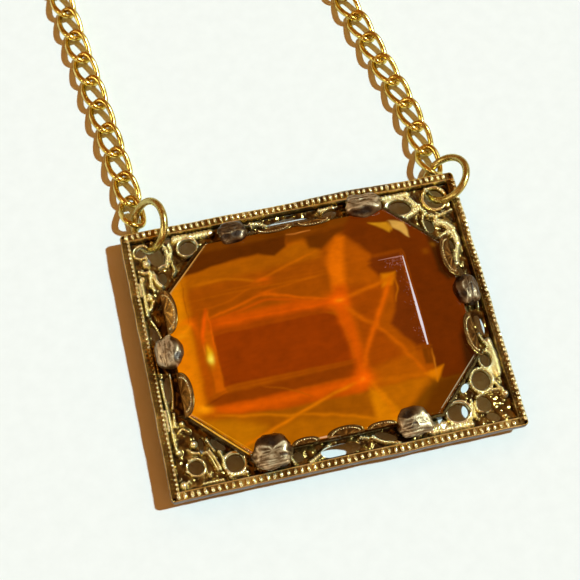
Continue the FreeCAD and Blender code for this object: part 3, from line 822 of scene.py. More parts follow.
def make_rim():
    builder = Builder()
    rim_band(builder)
    for edge, sign, pitch in BAR_ROWS:
        for k in range(int((RIM_RIGHT - RIM_LEFT - 1.2) / pitch)):
            x = RIM_LEFT + 0.9 + k * pitch + rng.uniform(-0.05, 0.05)
            half = 0.41 * rng.uniform(0.82, 1.08)
            y = edge + sign * (rim_sway(x, edge) - 0.58)
            size = (0.24 * rng.uniform(0.85, 1.15), half, 0.36)
            builder.blob((x, y, 2.98), size, rng.uniform(-0.28, 0.28), 9, 12,
                         rng.uniform(0.85, 1.15), 0.16)
    y = RIM_FRONT + 1.0
    while y < RIM_BACK - 0.9:
        quiet = 0.35 if LEFT_WORN[0] < y < LEFT_WORN[1] else 1.0
        edge = RIM_LEFT - rim_sway(RIM_LEFT, y)
        builder.blob((edge + 0.50, y + 0.2, 2.94), (0.20, 0.19, 0.17), 0, 5, 9,
                     0.26 * quiet, 0.3)
        builder.blob((edge + 1.00, y, 3.07), (0.23, 0.22 * rng.uniform(0.8, 1.2), 0.34),
                     0, 7, 10, 1.05 * quiet, 0.2)
        y += LEFT_PITCH * rng.uniform(0.9, 1.1)
    for low, high in LEFT_WIRES:
        line = [(RIM_LEFT + 1.40, low + (high - low) * k / 8, 3.04) for k in range(9)]
        builder.tube(line, 0.16, 8, tone=1.0)
    y = RIM_FRONT + 0.9
    while y < RIM_BACK - 0.8:
        edge = RIM_RIGHT + rim_sway(RIM_RIGHT, y)
        builder.blob((edge - 0.34, y, 3.04), (0.29, 0.28, 0.28), 0, 7, 10, 1.05, 0.25)
        builder.blob((edge - 0.86, y + 0.3, 2.98), (0.18, 0.2, 0.16), 0, 5, 8, 0.15, 0.4)
        y += RIGHT_PITCH * rng.uniform(0.85, 1.12)
    rim = finished(builder.made("beaded_rim", 50), "pendant", "antique_brass", CASTING,
                   "frame_rim")
    rim.data.materials.append(RIM_SIDE)  # on the outer wall
    for face in rim.data.polygons:
        x, y = face.center.x / MM, face.center.y / MM
        outside = max(x - RIM_RIGHT, RIM_LEFT - x, y - RIM_BACK, RIM_FRONT - y)
        if outside > -0.12 and abs(face.normal.z) < 0.8:
            face.material_index = 1


# ---- claws ----
SIDE_TURN = {"top": 0.0, "left": 90.0, "bottom": 180.0, "right": -90.0}
CLAW_RINGS, CLAW_SIDES = 44, 60
# side, how pointed, how pale the slate, widening, shift outwards
CLAWS = {
    "claw_top_left": ("top", 0.0, 0.35, 0.92, 0.0),
    "claw_top_right": ("top", 0.1, 1.0, 1.18, 0.35),
    "claw_bottom_left": ("bottom", 0.22, 0.9, 1.22, 0.1),
    "claw_bottom_right": ("bottom", 0.15, 0.9, 1.10, 0.0),
    "claw_left": ("left", 0.0, 1.2, 1.0, 0.0),
    "claw_right": ("right", 0.1, 0.4, 1.0, 0.1),
}


def side_rotation(side):
    """Turns a form made for the top side, its outside towards +Y, to another side."""
    return Matrix.Rotation(math.radians(SIDE_TURN[side]), 3, "Z")


def make_claw(name, side, pointed, slate, swell, out):
    """A lumpy stub over the stone's edge: dark and smooth within, layered like slate on
    its outer part, with a light ledge between; painted shade darkens its lower part."""
    low, high = (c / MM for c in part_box(name))
    half = (high - low) / 2
    rotate = side_rotation(side)
    centre = (low + high) / 2 + rotate @ Vector((0, out, 0))
    wide, deep = (half.x, half.y) if side in ("top", "bottom") else (half.y, half.x)
    wide *= swell
    seed = rng.uniform(0, 50)
    verts, tones = [], []
    for lat, lon in globe_angles(CLAW_RINGS, CLAW_SIDES):
        x = squared(math.cos(lat), 0.6) * squared(math.cos(lon), 0.66)
        y = squared(math.cos(lat), 0.6) * squared(math.sin(lon), 0.66)
        z = squared(math.sin(lat), 0.8)
        if y < 0:
            x *= 1 - (0.22 + 0.60 * pointed) * y * y
            y *= 1 + 0.40 * pointed * (1 - x * x)
        lump = noise.noise(Vector((x * 1.5 + seed, y * 1.8, z * 1.2)))
        fine = noise.noise(Vector((x * 3.0 + seed, y * 9.0, z * 3.0)))
        streak = noise.noise(Vector((x * 1.2 + seed, y * 14.0 + 1.5 * lump, 4.0)))
        outer = min(max((y + 0.30 + 0.25 * lump) / 0.25, 0), 1)
        grow = 1 + 0.20 * lump + 0.04 * fine
        px, py = x * wide * 1.02 * grow, y * deep * 1.03 * grow
        slope = 1.0 - 0.30 * max(y, 0) - 0.12 * max(-y, 0)
        step = 0.10 * outer - 0.10 * outer * streak
        pz = z * half.z * 0.97 * slope * (1 + 0.10 * lump) - step * max(z, 0)
        verts.append(centre + rotate @ Vector((px, py, 0)) + Vector((0, 0, pz)))
        pale = slate * outer * (0.70 + 1.1 * streak + 0.3 * fine)
        ledge = 0.55 * math.exp(-((y + 0.22 + 0.25 * lump) / 0.07) ** 2) * (z > 0)
        inner = (1 - outer) * (0.22 + 0.6 * lump)
        # painted shade: the slate's paleness fades to dark towards the claw's bottom
        tone = pale * min(max(z + 0.45, 0), 1) + inner + ledge
        tones.append(min(max(tone, 0), 1))
    builder = Builder()
    builder.add(verts, globe_faces(CLAW_RINGS, CLAW_SIDES), tones)
    finished(builder.made("lumpy_" + name, 60), "pendant", "worn_bronze", CLAW_METAL, name)


# ---- bezel petals ----
GIRDLE_LOW, GIRDLE_TOP = 3.6, 4.4
TABLE_W, TABLE_H, TABLE_Z = 24.6, 12.6, 7.1
CULET_W, CULET_H = 17.0, 9.0
CROWN_RISE_X = (TABLE_Z - GIRDLE_TOP) / ((STONE_W - TABLE_W) / 2)
CROWN_RISE_Y = (TABLE_Z - GIRDLE_TOP) / ((STONE_H - TABLE_H) / 2)
# side, place along it, half length, reach over the stone
PETALS = [("left", -5.3, 2.85, 1.5), ("left", 5.9, 2.95, 1.6), ("right", -5.3, 2.9, 1.5),
          ("right", 5.9, 2.9, 1.6), ("top", -3.0, 2.5, 0.8), ("top", 2.4, 2.5, 0.9),
          ("bottom", -5.4, 1.7, 0.65), ("bottom", -0.3, 2.3, 1.0), ("bottom", 4.4, 1.8, 0.6)]
PETAL_STEPS, PETAL_RINGS, ROLL_STEPS = 28, 8, 32
PETAL_ROLL, PETAL_GRAIN_PITCH = 0.13, 0.34


def petal_faces():
    """The faces of a half-round sheet: two layers of vertices, joined round the edge."""
    faces = []
    row = PETAL_STEPS + 1
    sheet = (PETAL_RINGS + 1) * row
    for i in range(PETAL_RINGS):
        for k in range(PETAL_STEPS):
            a = i * row + k
            faces.append((a, a + 1, a + row + 1, a + row))
            faces.append((sheet + a + row, sheet + a + row + 1, sheet + a + 1, sheet + a))
    edge = [PETAL_RINGS * row + k for k in range(row)]
    edge += [i * row + PETAL_STEPS for i in range(PETAL_RINGS - 1, -1, -1)]
    edge += [i * row for i in range(1, PETAL_RINGS + 1)]
    return faces + [(a, b, sheet + b, sheet + a) for a, b in zip(edge, edge[1:])]


def make_petals():
    """Rounded leaves bent over the crown: a dark rolled edge round a dished face, and a
    row of small grains inside the edge."""
    builder = Builder()
    for side, along, radius, reach in PETALS:
        rotate = side_rotation(side)
        out = STONE_H / 2 if side in ("top", "bottom") else STONE_W / 2
        rise = CROWN_RISE_Y if side in ("top", "bottom") else CROWN_RISE_X
        sign = -1 if side in ("bottom", "right") else 1

        def place(r, angle, lift):
            a = radius * r * math.cos(angle)
            b = reach * r * math.sin(angle) ** 0.8
            z = GIRDLE_TOP + 0.10 + rise * b + lift
            return rotate @ Vector((sign * along + a, out - b + 0.2, z))

        verts, tones = [], []
        for upper in (True, False):
            for i in range(PETAL_RINGS + 1):
                for k in range(PETAL_STEPS + 1):
                    r, angle = i / PETAL_RINGS, math.pi * k / PETAL_STEPS
                    vein = noise.noise(Vector((angle * 4, r * 2, along)))
                    verts.append(place(r, angle, 0.20 - 0.10 * (1 - r * r) if upper else 0.0))
                    tones.append(0.34 + 0.40 * vein if upper else 0.1)
        builder.add(verts, petal_faces(), tones)
        rolled = [place(1.0, math.pi * k / ROLL_STEPS, 0.16) for k in range(ROLL_STEPS + 1)]
        builder.tube(rolled, PETAL_ROLL, 8, tone=0.34)
        count = int(math.pi * radius * 0.75 / PETAL_GRAIN_PITCH)
        for k in range(1, count):
            spot = place(0.80, math.pi * k / count, 0.20)
            builder.blob(spot, (0.12, 0.12, 0.10), 0, 5, 8, 0.9, 0.2)
    finished(builder.made("beaded_petals", 50), "pendant", "antique_brass", PETAL_METAL,
             "bezel_petals")


# ---- stone ----
TOP_CUT_MORE, TOP_IN, STONE_WEAR = 0.55, 0.12, 0.10
# the glowing sheet of painted light and shade in the stone: its top, thickness and mesh size
HEART_Z, HEART_T, HEART_STEP = 3.95, 0.2, 0.14
PAINTED_LIGHT_GAIN = 1.01  # brightness of the painted light
# the painted light's colour where no patch, streak or glow lies over it
PAINTED_LIGHT_GROUND = (168, 80, 1)
SOFTER = 1.7       # times the softness of every patch
# the light is laid out to line up in the camera's view only: a place on the sheet takes the
# colour drawn this share further away from SPREAD_FROM, which is the camera's x and y
SPREAD, SPREAD_FROM = 0.016, (-22.0, -46.7)


def octagon(width, height, cut, z):
    a, b = width / 2, height / 2
    return [(a, b - cut, z), (a - cut, b, z), (cut - a, b, z), (-a, b - cut, z),
            (-a, cut - b, z), (cut - a, -b, z), (a - cut, -b, z), (a, cut - b, z)]


def stone_mesh():
    """The faceted outside of the stone, its edges worn round."""
    mesh = bmesh.new()

    def ring(points):
        return [mesh.verts.new(Vector(p) * MM) for p in points]

    def corners(width, height, z):
        a, b = width / 2, height / 2
        return ring(((a, b, z), (-a, b, z), (-a, -b, z), (a, -b, z)))

    low = ring(octagon(STONE_W, STONE_H, STONE_CUT, GIRDLE_LOW))
    top = ring(octagon(STONE_W - 2 * TOP_IN, STONE_H - 2 * TOP_IN, STONE_CUT + TOP_CUT_MORE,
                       GIRDLE_TOP))
    table, culet = corners(TABLE_W, TABLE_H, TABLE_Z), corners(CULET_W, CULET_H, 0)
    mesh.faces.new(table)
    mesh.faces.new(culet[::-1])
    for i in range(8):
        j = (i + 1) % 8
        mesh.faces.new((low[i], low[j], top[j], top[i]))
    for k in range(4):
        a, b, c = 2 * k, 2 * k + 1, (2 * k + 2) % 8
        n = (k + 1) % 4
        mesh.faces.new((top[a], top[b], table[k]))
        mesh.faces.new((top[b], top[c], table[n], table[k]))
        mesh.faces.new((low[b], low[a], culet[k]))
        mesh.faces.new((low[c], low[b], culet[k], culet[n]))
    bmesh.ops.bevel(mesh, geom=list(mesh.edges), offset=STONE_WEAR * MM, segments=2,
                    affect="EDGES", profile=0.5)
    bmesh.ops.recalc_face_normals(mesh, faces=list(mesh.faces))
    data = bpy.data.meshes.new("amber_stone")
    mesh.to_mesh(data)
    mesh.free()
    return linked("amber_stone", data)


def amber_glass():
    g = Graph("amber_glass")
    g.set(Base_Color=(1.0, 0.86, 0.62, 1), Transmission_Weight=1.0, IOR=1.48)
    g.roughness(g.ramp(g.noise(1.1, 5.0), [(0.45, 0.0), (0.85, 0.05)]))
    g.bump(g.noise(0.35, 2.0), 0.05, 0.05)
    return g.material


# patches of painted light and painted shade inside the stone, later ones over earlier:
# colour, strength, softness, then x and y round the outline
PATCHES = [
    ((160, 86, 2), 1, 0.5, -21, -8.8, 15, -8.8, 15, -17, -21, -17),
    ((194, 116, 3), 0.9, 1, -18.2, -8.2, -13, -9, -9.5, -10.8, -12, -13.5, -16, -11),
    ((182, 104, 2), 0.8, 0.8, -12, -12.4, -5.5, -10.6, 5, -12.6, 5, -16, -13, -16),
    ((158, 84, 2), 0.7, 0.6, -5.4, -10.2, 3.4, -8.2, 4.6, -12.2),
    ((222, 130, 3), 0.9, 0.7, 4.4, -8.6, 6.2, -9.6, 8.4, -13.2, 6, -14.4, 4.6, -13.6),
    ((192, 106, 2), 0.9, 0.7, 6, -8.8, 12.8, -8.6, 9.6, -11.6, 8, -12.8),
    ((120, 68, 3), 1, 0.6, 13.4, -8.9, 8, -13.4, 8, -17, 21, -17, 21, -9),
    ((172, 91, 2), 0.95, 0.9, -17.5, 11.6, 2.6, 12.8, 2.6, 9.3, -16, 8.6),
    ((160, 76, 1), 0.9, 1, -15.6, 9.2, 2.9, 9.8, 2.9, 5, -15.6, 4.6),
    ((92, 43, 2), 1, 0.35, -19, 10.6, -16, 11.3, -12, 11.6, -8, 12.1, -5.6, 12.1, -3.4, 11.4,
     -1.6, 12.5, -1.2, 14.2, -1.2, 17, -19, 17),
    ((120, 60, 6), 0.95, 0.5, -1.4, 17, -1.4, 12.9, 1, 13.1, 9.5, 14.4, 9.5, 17),
    ((100, 48, 3), 0.95, 0.5, 1, 13.4, 1.4, 11.5, 3, 10.9, 4.3, 12, 5.6, 12.9, 9, 13.6, 9.5,
     14.5),
    ((116, 60, 6), 0.9, 0.5, -17, 14, 0, 14.2, 8, 14.6, 8, 17, -17, 17),
    ((176, 84, 1), 0.9, 0.5, 5.2, 12.4, 6.8, 11, 9.3, 8.2, 9, 5.2, 5.2, 5.6),
    ((112, 48, 2), 1, 0.6, 6.2, 12.8, 8, 10.4, 9.4, 8.4, 21, 8.4, 21, 17, 9, 17),
    ((224, 132, 3), 0.95, 1.2, -20.5, 9.4, -16.2, 11.6, -16.1, 3, -16.6, -6.8, -18.2, -8.4,
     -20.5, -6),
    ((240, 128, 1), 0.7, 1.4, -19.2, 4.4, -17.2, 4, -16.4, 0, -16.6, -7.4, -19, -7),
    ((178, 80, 1), 0.9, 0.6, -15.9, 5.4, -14.8, 5.6, -14.9, -5.2, -16, -6),
    ((202, 94, 2), 0.9, 0.25, -14.8, 3.6, -13.4, 5.8, -13.3, -5.4, -14.6, -5.2),
    ((146, 57, 1), 1, 0.25, -13.3, 2.3, 1.2, 2.3, 2.9, 1.2, 3.4, -4.8, -13.3, -4.8),
    ((138, 60, 2), 1, 0.35, -16.6, -6.3, -14, -5.5, -9, -5.3, 3.6, -4.9, 4, -6.7, -4, -6.7, -7,
     -7.2, -16.6, -6.9),
    ((162, 68, 1), 0.95, 0.3, -13.3, 3.3, 1.6, 3.3, 2.4, 2.2, -13.3, 2.2),
    ((208, 84, 2), 0.9, 0.6, -13.8, 4.5, -2, 4.6, 2.4, 3.9, 2.4, 3.1, -13.8, 3.1),
    ((196, 80, 1), 0.9, 0.45, -16.4, -6.9, 4.2, -6.8, 4.2, -8.9, -6, -9, -12, -8.3),
    ((160, 70, 1), 0.85, 0.9, 4.9, 5, 10.2, 4.6, 7.4, -0.6, 10.6, -6.4, 5.2, -6.2),
    ((182, 92, 1), 0.8, 0.8, 5.2, -6.2, 11.4, -5, 12.2, -8.4, 5, -8.6),
    ((110, 46, 12), 0.95, 0.5, 9.2, 8.2, 13.1, 8.2, 13.3, -4.9, 11.8, -4.8, 10.4, -2.8, 9.4, -1,
     10.4, 0.6, 11.4, 5.2, 9.4, 5.9, 8.4, 7.4),
    ((106, 44, 1), 1, 0.2, 13.2, 17, 13.2, -8.4, 14.2, -9.4, 21, -9.4, 21, 17),
    ((58, 28, 8), 0.95, 0.5, 17.4, 12, 17.4, 5, 18.4, 3.6, 21, 3.4, 21, 12),
    ((58, 28, 8), 0.95, 0.7, 19.4, -2.6, 17.8, -4.4, 17.4, -9, 21, -9, 21, -2),
    ((98, 50, 2), 0.9, 0.8, 13.4, -9.4, 18, -9.4, 12.5, -15, 9.5, -14.5),
    ((226, 128, 2), 0.9, 0.35, 12, -8.2, 14.5, -7.7, 13.9, -8.8, 13.3, -9.6),
    ((118, 58, 2), 0.9, 0.25, 12.4, -5, 13.2, -5, 13.2, -7.2, 12.5, -7),
    ((205, 140, 30), 1, 0.25, 10.1, 13.7, 12.6, 13.2, 13, 12.2, 12.6, 11.5),
    ((222, 172, 84), 1, 0.25, 12.8, 13.4, 14.9, 12.9, 15, 11.4, 14.9, 10.4, 13, 12.3),
    ((232, 112, 2), 0.9, 0.7, 3.8, 10.6, 5.3, 12.4, 6.3, 12.2, 5.5, 8.8, 4.7, 5, 3, 5, 3.1, 8.4),
    ((214, 88, 2), 0.9, 0.8, 3.2, 5.6, 4.8, 5.6, 4.7, 0.6, 4.9, -4.6, 4.8, -8, 3.4, -8, 3.3, -3,
     2.7, 1.6),
    ((146, 86, 8), 0.95, 0.12, -19.4, -7.2, -18.3, -7.5, -12.3, -13.5, -12.3, -15.4),
    ((228, 130, 4), 0.9, 0.4, 9.8, 5.9, 11.7, 5.8, 10.9, 4.2, 9.6, 4.2),
]
# lines of light: colour, strength, half width, then x and y of each point
STREAKS = [
    ((232, 96, 2), 0.7, 0.55, -15.5, -7.4, -6, -7.9, 3.9, -7.5),
    ((216, 120, 4), 0.7, 0.22, -15.4, -8, -6.5, -9.9, 0, -11.2, 5, -13),
    ((226, 122, 4), 0.8, 0.24, -13, -12.8, -5.4, -10.1, 0, -8.3, 3.6, -7.4),
    ((176, 90, 8), 0.7, 0.1, -9, -5.4, -5.2, -6.8, -3, -8.2),
    ((220, 98, 3), 0.8, 0.2, -13.8, 4.6, -9.4, 5.6, -6, 6.6, -2.8, 5.4, 0.6, 4.4, 3.2, 3.6),
    ((206, 84, 2), 0.7, 0.22, -13.6, 4, -9, 5, -5.6, 5.8, -1.6, 4.6, 3.2, 3.2),
    ((224, 88, 2), 0.6, 0.16, -13, 3.6, 2.6, 3.4),
    ((188, 92, 3), 0.6, 0.16, -6.4, 6.5, -2.2, 7.2, 2.4, 7.6),
    ((184, 92, 3), 0.5, 0.14, -15.6, 7.5, -6, 7.5, 2.6, 7.4),
    ((200, 108, 4), 0.6, 0.24, -15, 9.6, -9.6, 9.2, -6.2, 8),
    ((206, 104, 4), 0.65, 0.22, -6.4, 8, -2, 9.6, 2, 10.8),
    ((188, 90, 3), 0.5, 0.16, -15.6, 6.2, -11.6, 6, -8, 7.6, -5.6, 8.2),
    ((190, 104, 3), 0.6, 0.7, -1.2, 11.4, 0.4, 12.8),
    ((206, 98, 3), 0.8, 0.3, 3.6, 3.2, 5.6, 0.6, 7.4, -0.9, 9.8, -4, 12.4, -8.3),
    ((226, 100, 3), 0.85, 0.36, 10.9, 5.2, 9.2, 2.2, 7.3, -0.7, 4.9, -4.6, 4.2, -6.6),
    ((212, 104, 3), 0.75, 0.3, 3.8, 3.6, 7, 4.3, 11.4, 5.2),
    ((206, 112, 12), 0.7, 0.14, 11, 5.4, 11.7, 4.2, 10.8, 1.8),
    ((206, 106, 3), 0.7, 0.34, 4.6, -7.8, 12.6, -8.4),
    ((226, 124, 3), 0.7, 0.4, 4.6, -7.4, 6, -10, 7.2, -13.4),
    ((112, 44, 3), 0.6, 0.1, -16.6, -6.6, -13.4, -5.4),
    ((255, 150, 12), 0.85, 0.5, -17.6, -6.6, -15.8, -7.2),
    ((255, 146, 10), 0.7, 0.3, -18.6, 3, -17, 3.6, -16, 4.6),
    ((244, 106, 4), 0.6, 0.45, -17.4, 4.8, -16, 5.2, -15.4, 3),
    ((150, 72, 2), 0.6, 0.1, -16.2, 10.8, -16.25, 4.8),
    ((255, 96, 10), 0.8, 0.28, -14.9, 1.6, -14.6, 3.4, -13.7, 5.9),
    ((236, 98, 10), 0.7, 0.1, -13.6, 5.6, -13.4, 0.2),
    ((255, 120, 30), 0.6, 0.12, -14.9, 1.4, -15, 0),
    ((214, 124, 30), 0.8, 0.12, 13.35, -5.2, 13.3, -9),
    ((232, 140, 60), 0.85, 0.1, -1.2, 14.3, 0.2, 14.15, 2.2, 14.35),
    ((232, 150, 20), 0.6, 0.16, 4, -14, 8.2, -13.2),
    ((196, 128, 44), 0.8, 0.16, -18.7, 9.2, -13.2, 14.8),
]
# round glows: x, y, half width, half height, colour, strength
GLOWS = [
    (3.3, 3.6, 1.35, 0.95, (255, 100, 2), 0.97), (3.5, 3.5, 0.6, 0.3, (255, 140, 16), 0.9),
    (4, -7.3, 1.4, 1.05, (255, 102, 3), 0.97), (3.9, -7.3, 0.35, 0.3, (255, 130, 20), 0.8),
    (-5.7, 8.1, 1.1, 0.35, (220, 92, 6), 0.7), (-5.8, 6.6, 1.2, 0.25, (224, 96, 4), 0.6),
    (7.4, -0.7, 0.45, 0.45, (228, 104, 4), 0.7), (-16.8, -6.9, 0.9, 0.5, (255, 156, 16), 0.8),
    (-14.4, -0.4, 0.42, 1.05, (255, 206, 30), 1), (-14.45, 0.5, 0.16, 0.55, (255, 170, 20), 0.9),
    (-14.3, -0.8, 0.36, 0.5, (255, 238, 90), 0.95), (-17.8, 3.1, 0.7, 0.3, (255, 160, 20), 0.7),
    (17.8, 8.8, 0.4, 0.4, (150, 92, 20), 0.6), (16.5, 8, 0.5, 0.35, (140, 74, 6), 0.6),
]


def linear(tint):
    """A display colour, 0 to 255, as the light's own amounts."""
    return np.array([(c / 255) ** 2.2 for c in tint])


def laid_over(colour, tint, cover):
    """The tint over the colour, by how much it covers each place."""
    cover = cover[..., None]
    return colour * (1 - cover) + linear(tint) * cover


def inside_polygon(x, y, points):
    """True inside a polygon, by counting the edges crossed."""
    crossed = np.zeros(x.shape, bool)
    for (ax, ay), (bx, by) in zip(points, [*points[1:], points[0]]):
        if ay != by:
            crossed ^= ((ay > y) != (by > y)) & (x < (bx - ax) * (y - ay) / (by - ay) + ax)
    return crossed


def painted_light_colours(x, y):
    """The painted light and shade in the stone at each place, as a colour."""
    rough = noise_field(x, y, (0.55, 0.9, 2.3, 1))
    x = x + 0.16 * rough
    y = y + 0.14 * rough
    colour = np.ones((*x.shape, 3)) * linear(PAINTED_LIGHT_GROUND)
    for tint, strength, soft, *places in PATCHES:
        outline = pairs(places)
        d, _ = polyline_field(x, y, [*outline, outline[0]])
        d = np.where(inside_polygon(x, y, outline), d, -d)
        t = np.clip(d / (SOFTER * soft) + 0.5, 0, 1)
        colour = laid_over(colour, tint, t * t * (3 - 2 * t) * strength)
    for tint, strength, half, *places in STREAKS:
        d, s = polyline_field(x, y, softened(pairs(places)))
        length = s.max()
        fade = np.clip(np.minimum(s, length - s) / min(1.6, length / 2), 0, 1)
        colour = laid_over(colour, tint,
                           np.exp(-(d / half) ** 2) * strength * (0.45 + 0.55 * fade))
    for gx, gy, half_w, half_h, tint, strength in GLOWS:
        d = ((x - gx) / half_w) ** 2 + ((y - gy) / half_h) ** 2
        colour = laid_over(colour, tint, np.exp(-d) * strength)
    haze = noise_field(x, y, (1.1, 2.3, 7.9, 1), (4.0, 5.0, 1.2, 0.5))
    return colour * (1 + 0.12 * rough + 0.09 * haze)[..., None]


def glowing(name, verts, faces, colours):
    """An object whose vertices carry the light's colour."""
    mesh = bpy.data.meshes.new(name)
    mesh.from_pydata((np.asarray(verts) * MM).tolist(), [], [tuple(map(int, f)) for f in faces])
    paint(mesh, "glow", np.concatenate([colours, np.ones((len(verts), 1))], 1))
    return linked(name, mesh)


def make_painted_light_sheet():
    """A thin glowing sheet in the stone, painted with the drawn light."""
    half_w, half_h, cut = STONE_W / 2 - 0.2, STONE_H / 2 - 0.2, STONE_CUT + 0.15
    nx, ny = round(2 * half_w / HEART_STEP), round(2 * half_h / HEART_STEP)
    gx, gy = np.meshgrid(np.linspace(-half_w, half_w, nx + 1),
                         np.linspace(-half_h, half_h, ny + 1), indexing="ij")
    over = np.maximum(np.abs(gx) + np.abs(gy) - (half_w + half_h - cut), 0) / 2
    gx, gy = gx - np.sign(gx) * over, gy - np.sign(gy) * over
    colours = painted_light_colours(gx + SPREAD * (gx - SPREAD_FROM[0]),
                            gy + SPREAD * (gy - SPREAD_FROM[1])).reshape(-1, 3)
    count = (nx + 1) * (ny + 1)
    index = np.arange(count).reshape(nx + 1, ny + 1)
    faces = []
    for i in range(nx):
        for j in range(ny):
            a, b, c, d = index[i, j], index[i + 1, j], index[i + 1, j + 1], index[i, j + 1]
            faces.append((a, b, c, d))
            faces.append((d + count, c + count, b + count, a + count))
    border = [*index[:, 0], *index[-1, 1:], *index[-2::-1, -1], *index[0, -2:0:-1]]
    for p, q in zip(border, [*border[1:], border[0]]):
        faces.append((p, p + count, q + count, q))
    layers = [np.stack([gx.ravel(), gy.ravel(), np.full(count, z)], 1)
              for z in (HEART_Z, HEART_Z - HEART_T)]
    return glowing("stone_painted_light", np.concatenate(layers), faces,
                   np.concatenate([colours, colours]))


# glints on the stone's edges: points, radius at each, colour
GLINTS = [
    ([(12.30, 6.25, 7.04), (12.30, 3.0, 7.04), (12.30, 0.4, 7.04), (12.30, -3.2, 7.04),
      (12.30, -6.1, 7.04)], (0.06, 0.09, 0.15, 0.18, 0.10), (232, 220, 230)),
    ([(12.2, 6.28, 7.04), (10.6, 6.3, 7.04), (9.0, 6.3, 7.03)], (0.10, 0.07, 0.03),
     (170, 116, 106)),
    ([(-18.9, -7.9, 3.62), (-15.6, -11.25, 3.62), (-12.6, -14.2, 3.62)], (0.10, 0.16, 0.10),
     (238, 176, 62)),
    ([(-18.6, -7.8, 4.38), (-15.3, -11.05, 4.38), (-12.2, -14.0, 4.38)], (0.05, 0.06, 0.05),
     (222, 140, 20)),
    ([(-18.9, 7.7, 4.36), (-15.4, 11.1, 4.36), (-12.4, 14.1, 4.36)], (0.08, 0.09, 0.06),
     (196, 138, 66)),
    ([(18.4, -8.1, 4.36), (15.3, -11.1, 4.36), (12.4, -13.9, 4.36)], (0.04, 0.07, 0.05),
     (176, 158, 120)),
    ([(-4.6, -14.3, 4.30), (-1.6, -14.36, 4.34), (1.4, -14.3, 4.30)], (0.06, 0.16, 0.08),
     (226, 168, 126)),
    ([(1.6, -14.3, 4.32), (8.0, -14.2, 4.32)], (0.07, 0.05), (205, 120, 20)),
    ([(-7.6, -14.3, 4.32), (-4.6, -14.3, 4.32)], (0.05, 0.06), (214, 128, 24)),
]
# fine scratches painted as glints of light, beside the table's right edge and its top right corner
SCRATCHES, SCRATCH_GLINT_COLOUR, SCRATCH_RADII = 130, (176, 112, 104), (0.032, 0.022)
SCRATCH_X, SCRATCH_Y, SCRATCH_Z = 12.25, 6.2, TABLE_Z - 0.02


def make_glints():
    """Painted highlights on the stone's worn edges, and fine scratches painted as glints: slivers
    of light.
    """
    verts, faces, colours = [], [], []

    def sliver(points, radii, tint):
        base = len(verts)
        along = Vector(points[-1]) - Vector(points[0])
        side = along.cross(UP).normalized()
        for (x, y, z), r in zip(points, radii):
            for u, v in ((-1, 0), (0, 0.6), (1, 0), (0, -0.6)):
                verts.append((x + side.x * r * u, y + side.y * r * u, z + r * v))
                colours.append(linear(tint))
        n = len(points)
        for a in range(base, base + (n - 1) * 4, 4):
            for k in range(4):
                m = (k + 1) % 4
                faces.append((a + k, a + m, a + 4 + m, a + 4 + k))
        faces.append(tuple(base + k for k in (3, 2, 1, 0)))
        faces.append(tuple(base + (n - 1) * 4 + k for k in range(4)))

    for points, radii, tint in GLINTS:
        sliver(points, radii, tint)
    for _ in range(SCRATCHES):
        near = rng.random() ** 1.6
        if rng.random() < 0.55:
            x, y = SCRATCH_X - 2.6 * near, SCRATCH_Y - 1.5 * rng.random()
        else:
            x, y = SCRATCH_X - 1.3 * near, SCRATCH_Y - 12.0 * rng.random()
        a, length = rng.uniform(0, math.pi), rng.uniform(0.08, 0.35)
        end = (x + length * math.cos(a), y + length * math.sin(a), SCRATCH_Z)
        dim = rng.uniform(0.55, 1.0)
        if end[0] < SCRATCH_X and abs(end[1]) < SCRATCH_Y + 0.05:
            sliver([(x, y, SCRATCH_Z), end], SCRATCH_RADII, [c * dim for c in SCRATCH_GLINT_COLOUR])
    return glowing("stone_glints", verts, faces, np.array(colours))


def painted_light_material():
    """Painted light: the sheet glows with its painted colours, clouded a little by swirls in the
    glass.
    """
    g = Graph("amber_light")
    glow = g.painted("glow")
    swirl = g.ramp(g.noise(0.45, 4.0), [(0.3, 0.88), (0.7, 1.0)])
    mix = g.tree.nodes.new("ShaderNodeMix")
    mix.data_type, mix.blend_type = "RGBA", "MULTIPLY"
    mix.inputs["Factor"].default_value = 1.0
    g.link(glow, mix.inputs["A"])
    g.link(swirl, mix.inputs["B"])
    g.set(Base_Color=(0, 0, 0, 1), Roughness=1.0, Specular_IOR_Level=0.0,
          Emission_Strength=PAINTED_LIGHT_GAIN)
    g.link(mix.outputs["Result"], g.shader.inputs["Emission Color"])
    return g.material


def make_stone():
    light = painted_light_material()
    finished(stone_mesh(), "pendant", "amber_glass", amber_glass(), "stone")
    finished(make_painted_light_sheet(), "pendant", "amber_glass", light)
    finished(make_glints(), "pendant", "amber_glass", light)


# ---- the pendant ----
make_casting()
make_rim()
for claw, claw_form in CLAWS.items():
    make_claw(claw, *claw_form)
make_petals()
make_stone()
smooth_node("left_jump_ring", RING_METAL)
smooth_node("right_jump_ring", RING_METAL)


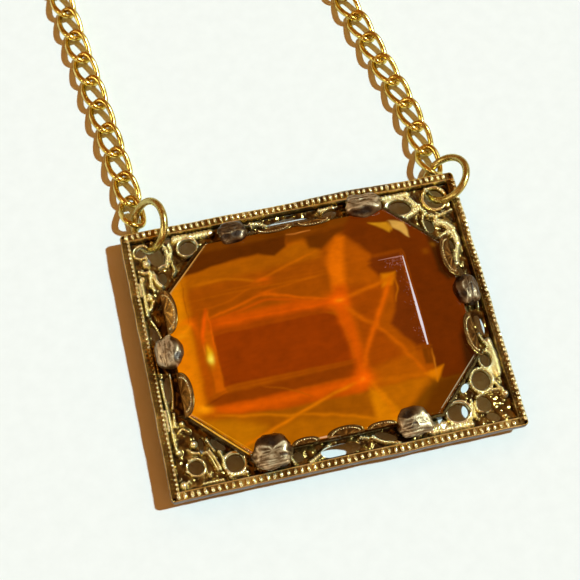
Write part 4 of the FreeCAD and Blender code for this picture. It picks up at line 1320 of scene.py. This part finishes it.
# ---- floor and light ----
FLOOR_SIZE = 12
WORLD_COLOUR = (0.35, 0.125, 0.018, 1)
SUN_POWER, SUN_ANGLE, SUN_COLOUR = 3.95, math.radians(2.5), (0.665, 0.905, 0.965)
SUN_FROM = (0.75, -0.02, 1)
# soft boxes that give the metal something to mirror: where, side, watts, colour, and
# whether they light what is matt as well
SOFT_BOXES = [
    ((-0.55, 0.30, 0.42), 0.15, 0.15, (1.0, 0.74, 0.42), True),
    ((0.25, -0.60, 0.45), 0.14, 0.13, (1.0, 0.78, 0.48), True),
    ((0.45, 0.55, 0.40), 0.14, 0.15, (1.0, 0.86, 0.62), True),
    ((-0.40, -0.50, 0.60), 0.15, 0.75, (1.0, 0.97, 0.82), False),
    ((0.55, -0.35, 0.35), 0.15, 0.65, (1.0, 0.95, 0.82), False),
    ((-0.62, -0.05, 0.40), 0.15, 0.75, (1.0, 0.95, 0.78), False),
]


def make_stage():
    bpy.ops.mesh.primitive_plane_add(size=FLOOR_SIZE, location=(0, 0, 0))
    floor = bpy.context.object
    floor.name = "floor"
    g = Graph("paper")
    g.set(Roughness=0.85, Specular_IOR_Level=0.2)
    g.colour(g.ramp(g.noise(0.5, 4.0), [(0.3, (0.86, 0.885, 0.875)), (0.7, (0.89, 0.915, 0.905))]))
    g.bump(g.noise(5.0, 5.0), 0.12, 0.03)
    floor.data.materials.append(g.material)


def add_light(name, kind, towards, energy, colour):
    """A light that shines from `towards` to the origin."""
    data = bpy.data.lights.new(name, kind)
    data.energy, data.color = energy, colour
    light = linked(name, data)
    light.rotation_euler = Vector(towards).to_track_quat("Z", "Y").to_euler()
    return light


def make_lights():
    scene = bpy.context.scene
    scene.view_settings.view_transform = "Standard"
    world = bpy.data.worlds.new("world")
    world.use_nodes = True
    back = world.node_tree.nodes["Background"]
    back.inputs["Color"].default_value = WORLD_COLOUR
    back.inputs["Strength"].default_value = 1.0
    scene.world = world
    add_light("sun", "SUN", SUN_FROM, SUN_POWER, SUN_COLOUR).data.angle = SUN_ANGLE
    for place, side, watts, tint, fills in SOFT_BOXES:
        box = add_light("soft_box", "AREA", place, watts, tint)
        box.data.size = side
        box.location = place
        box.visible_diffuse = fills


make_stage()
make_lights()
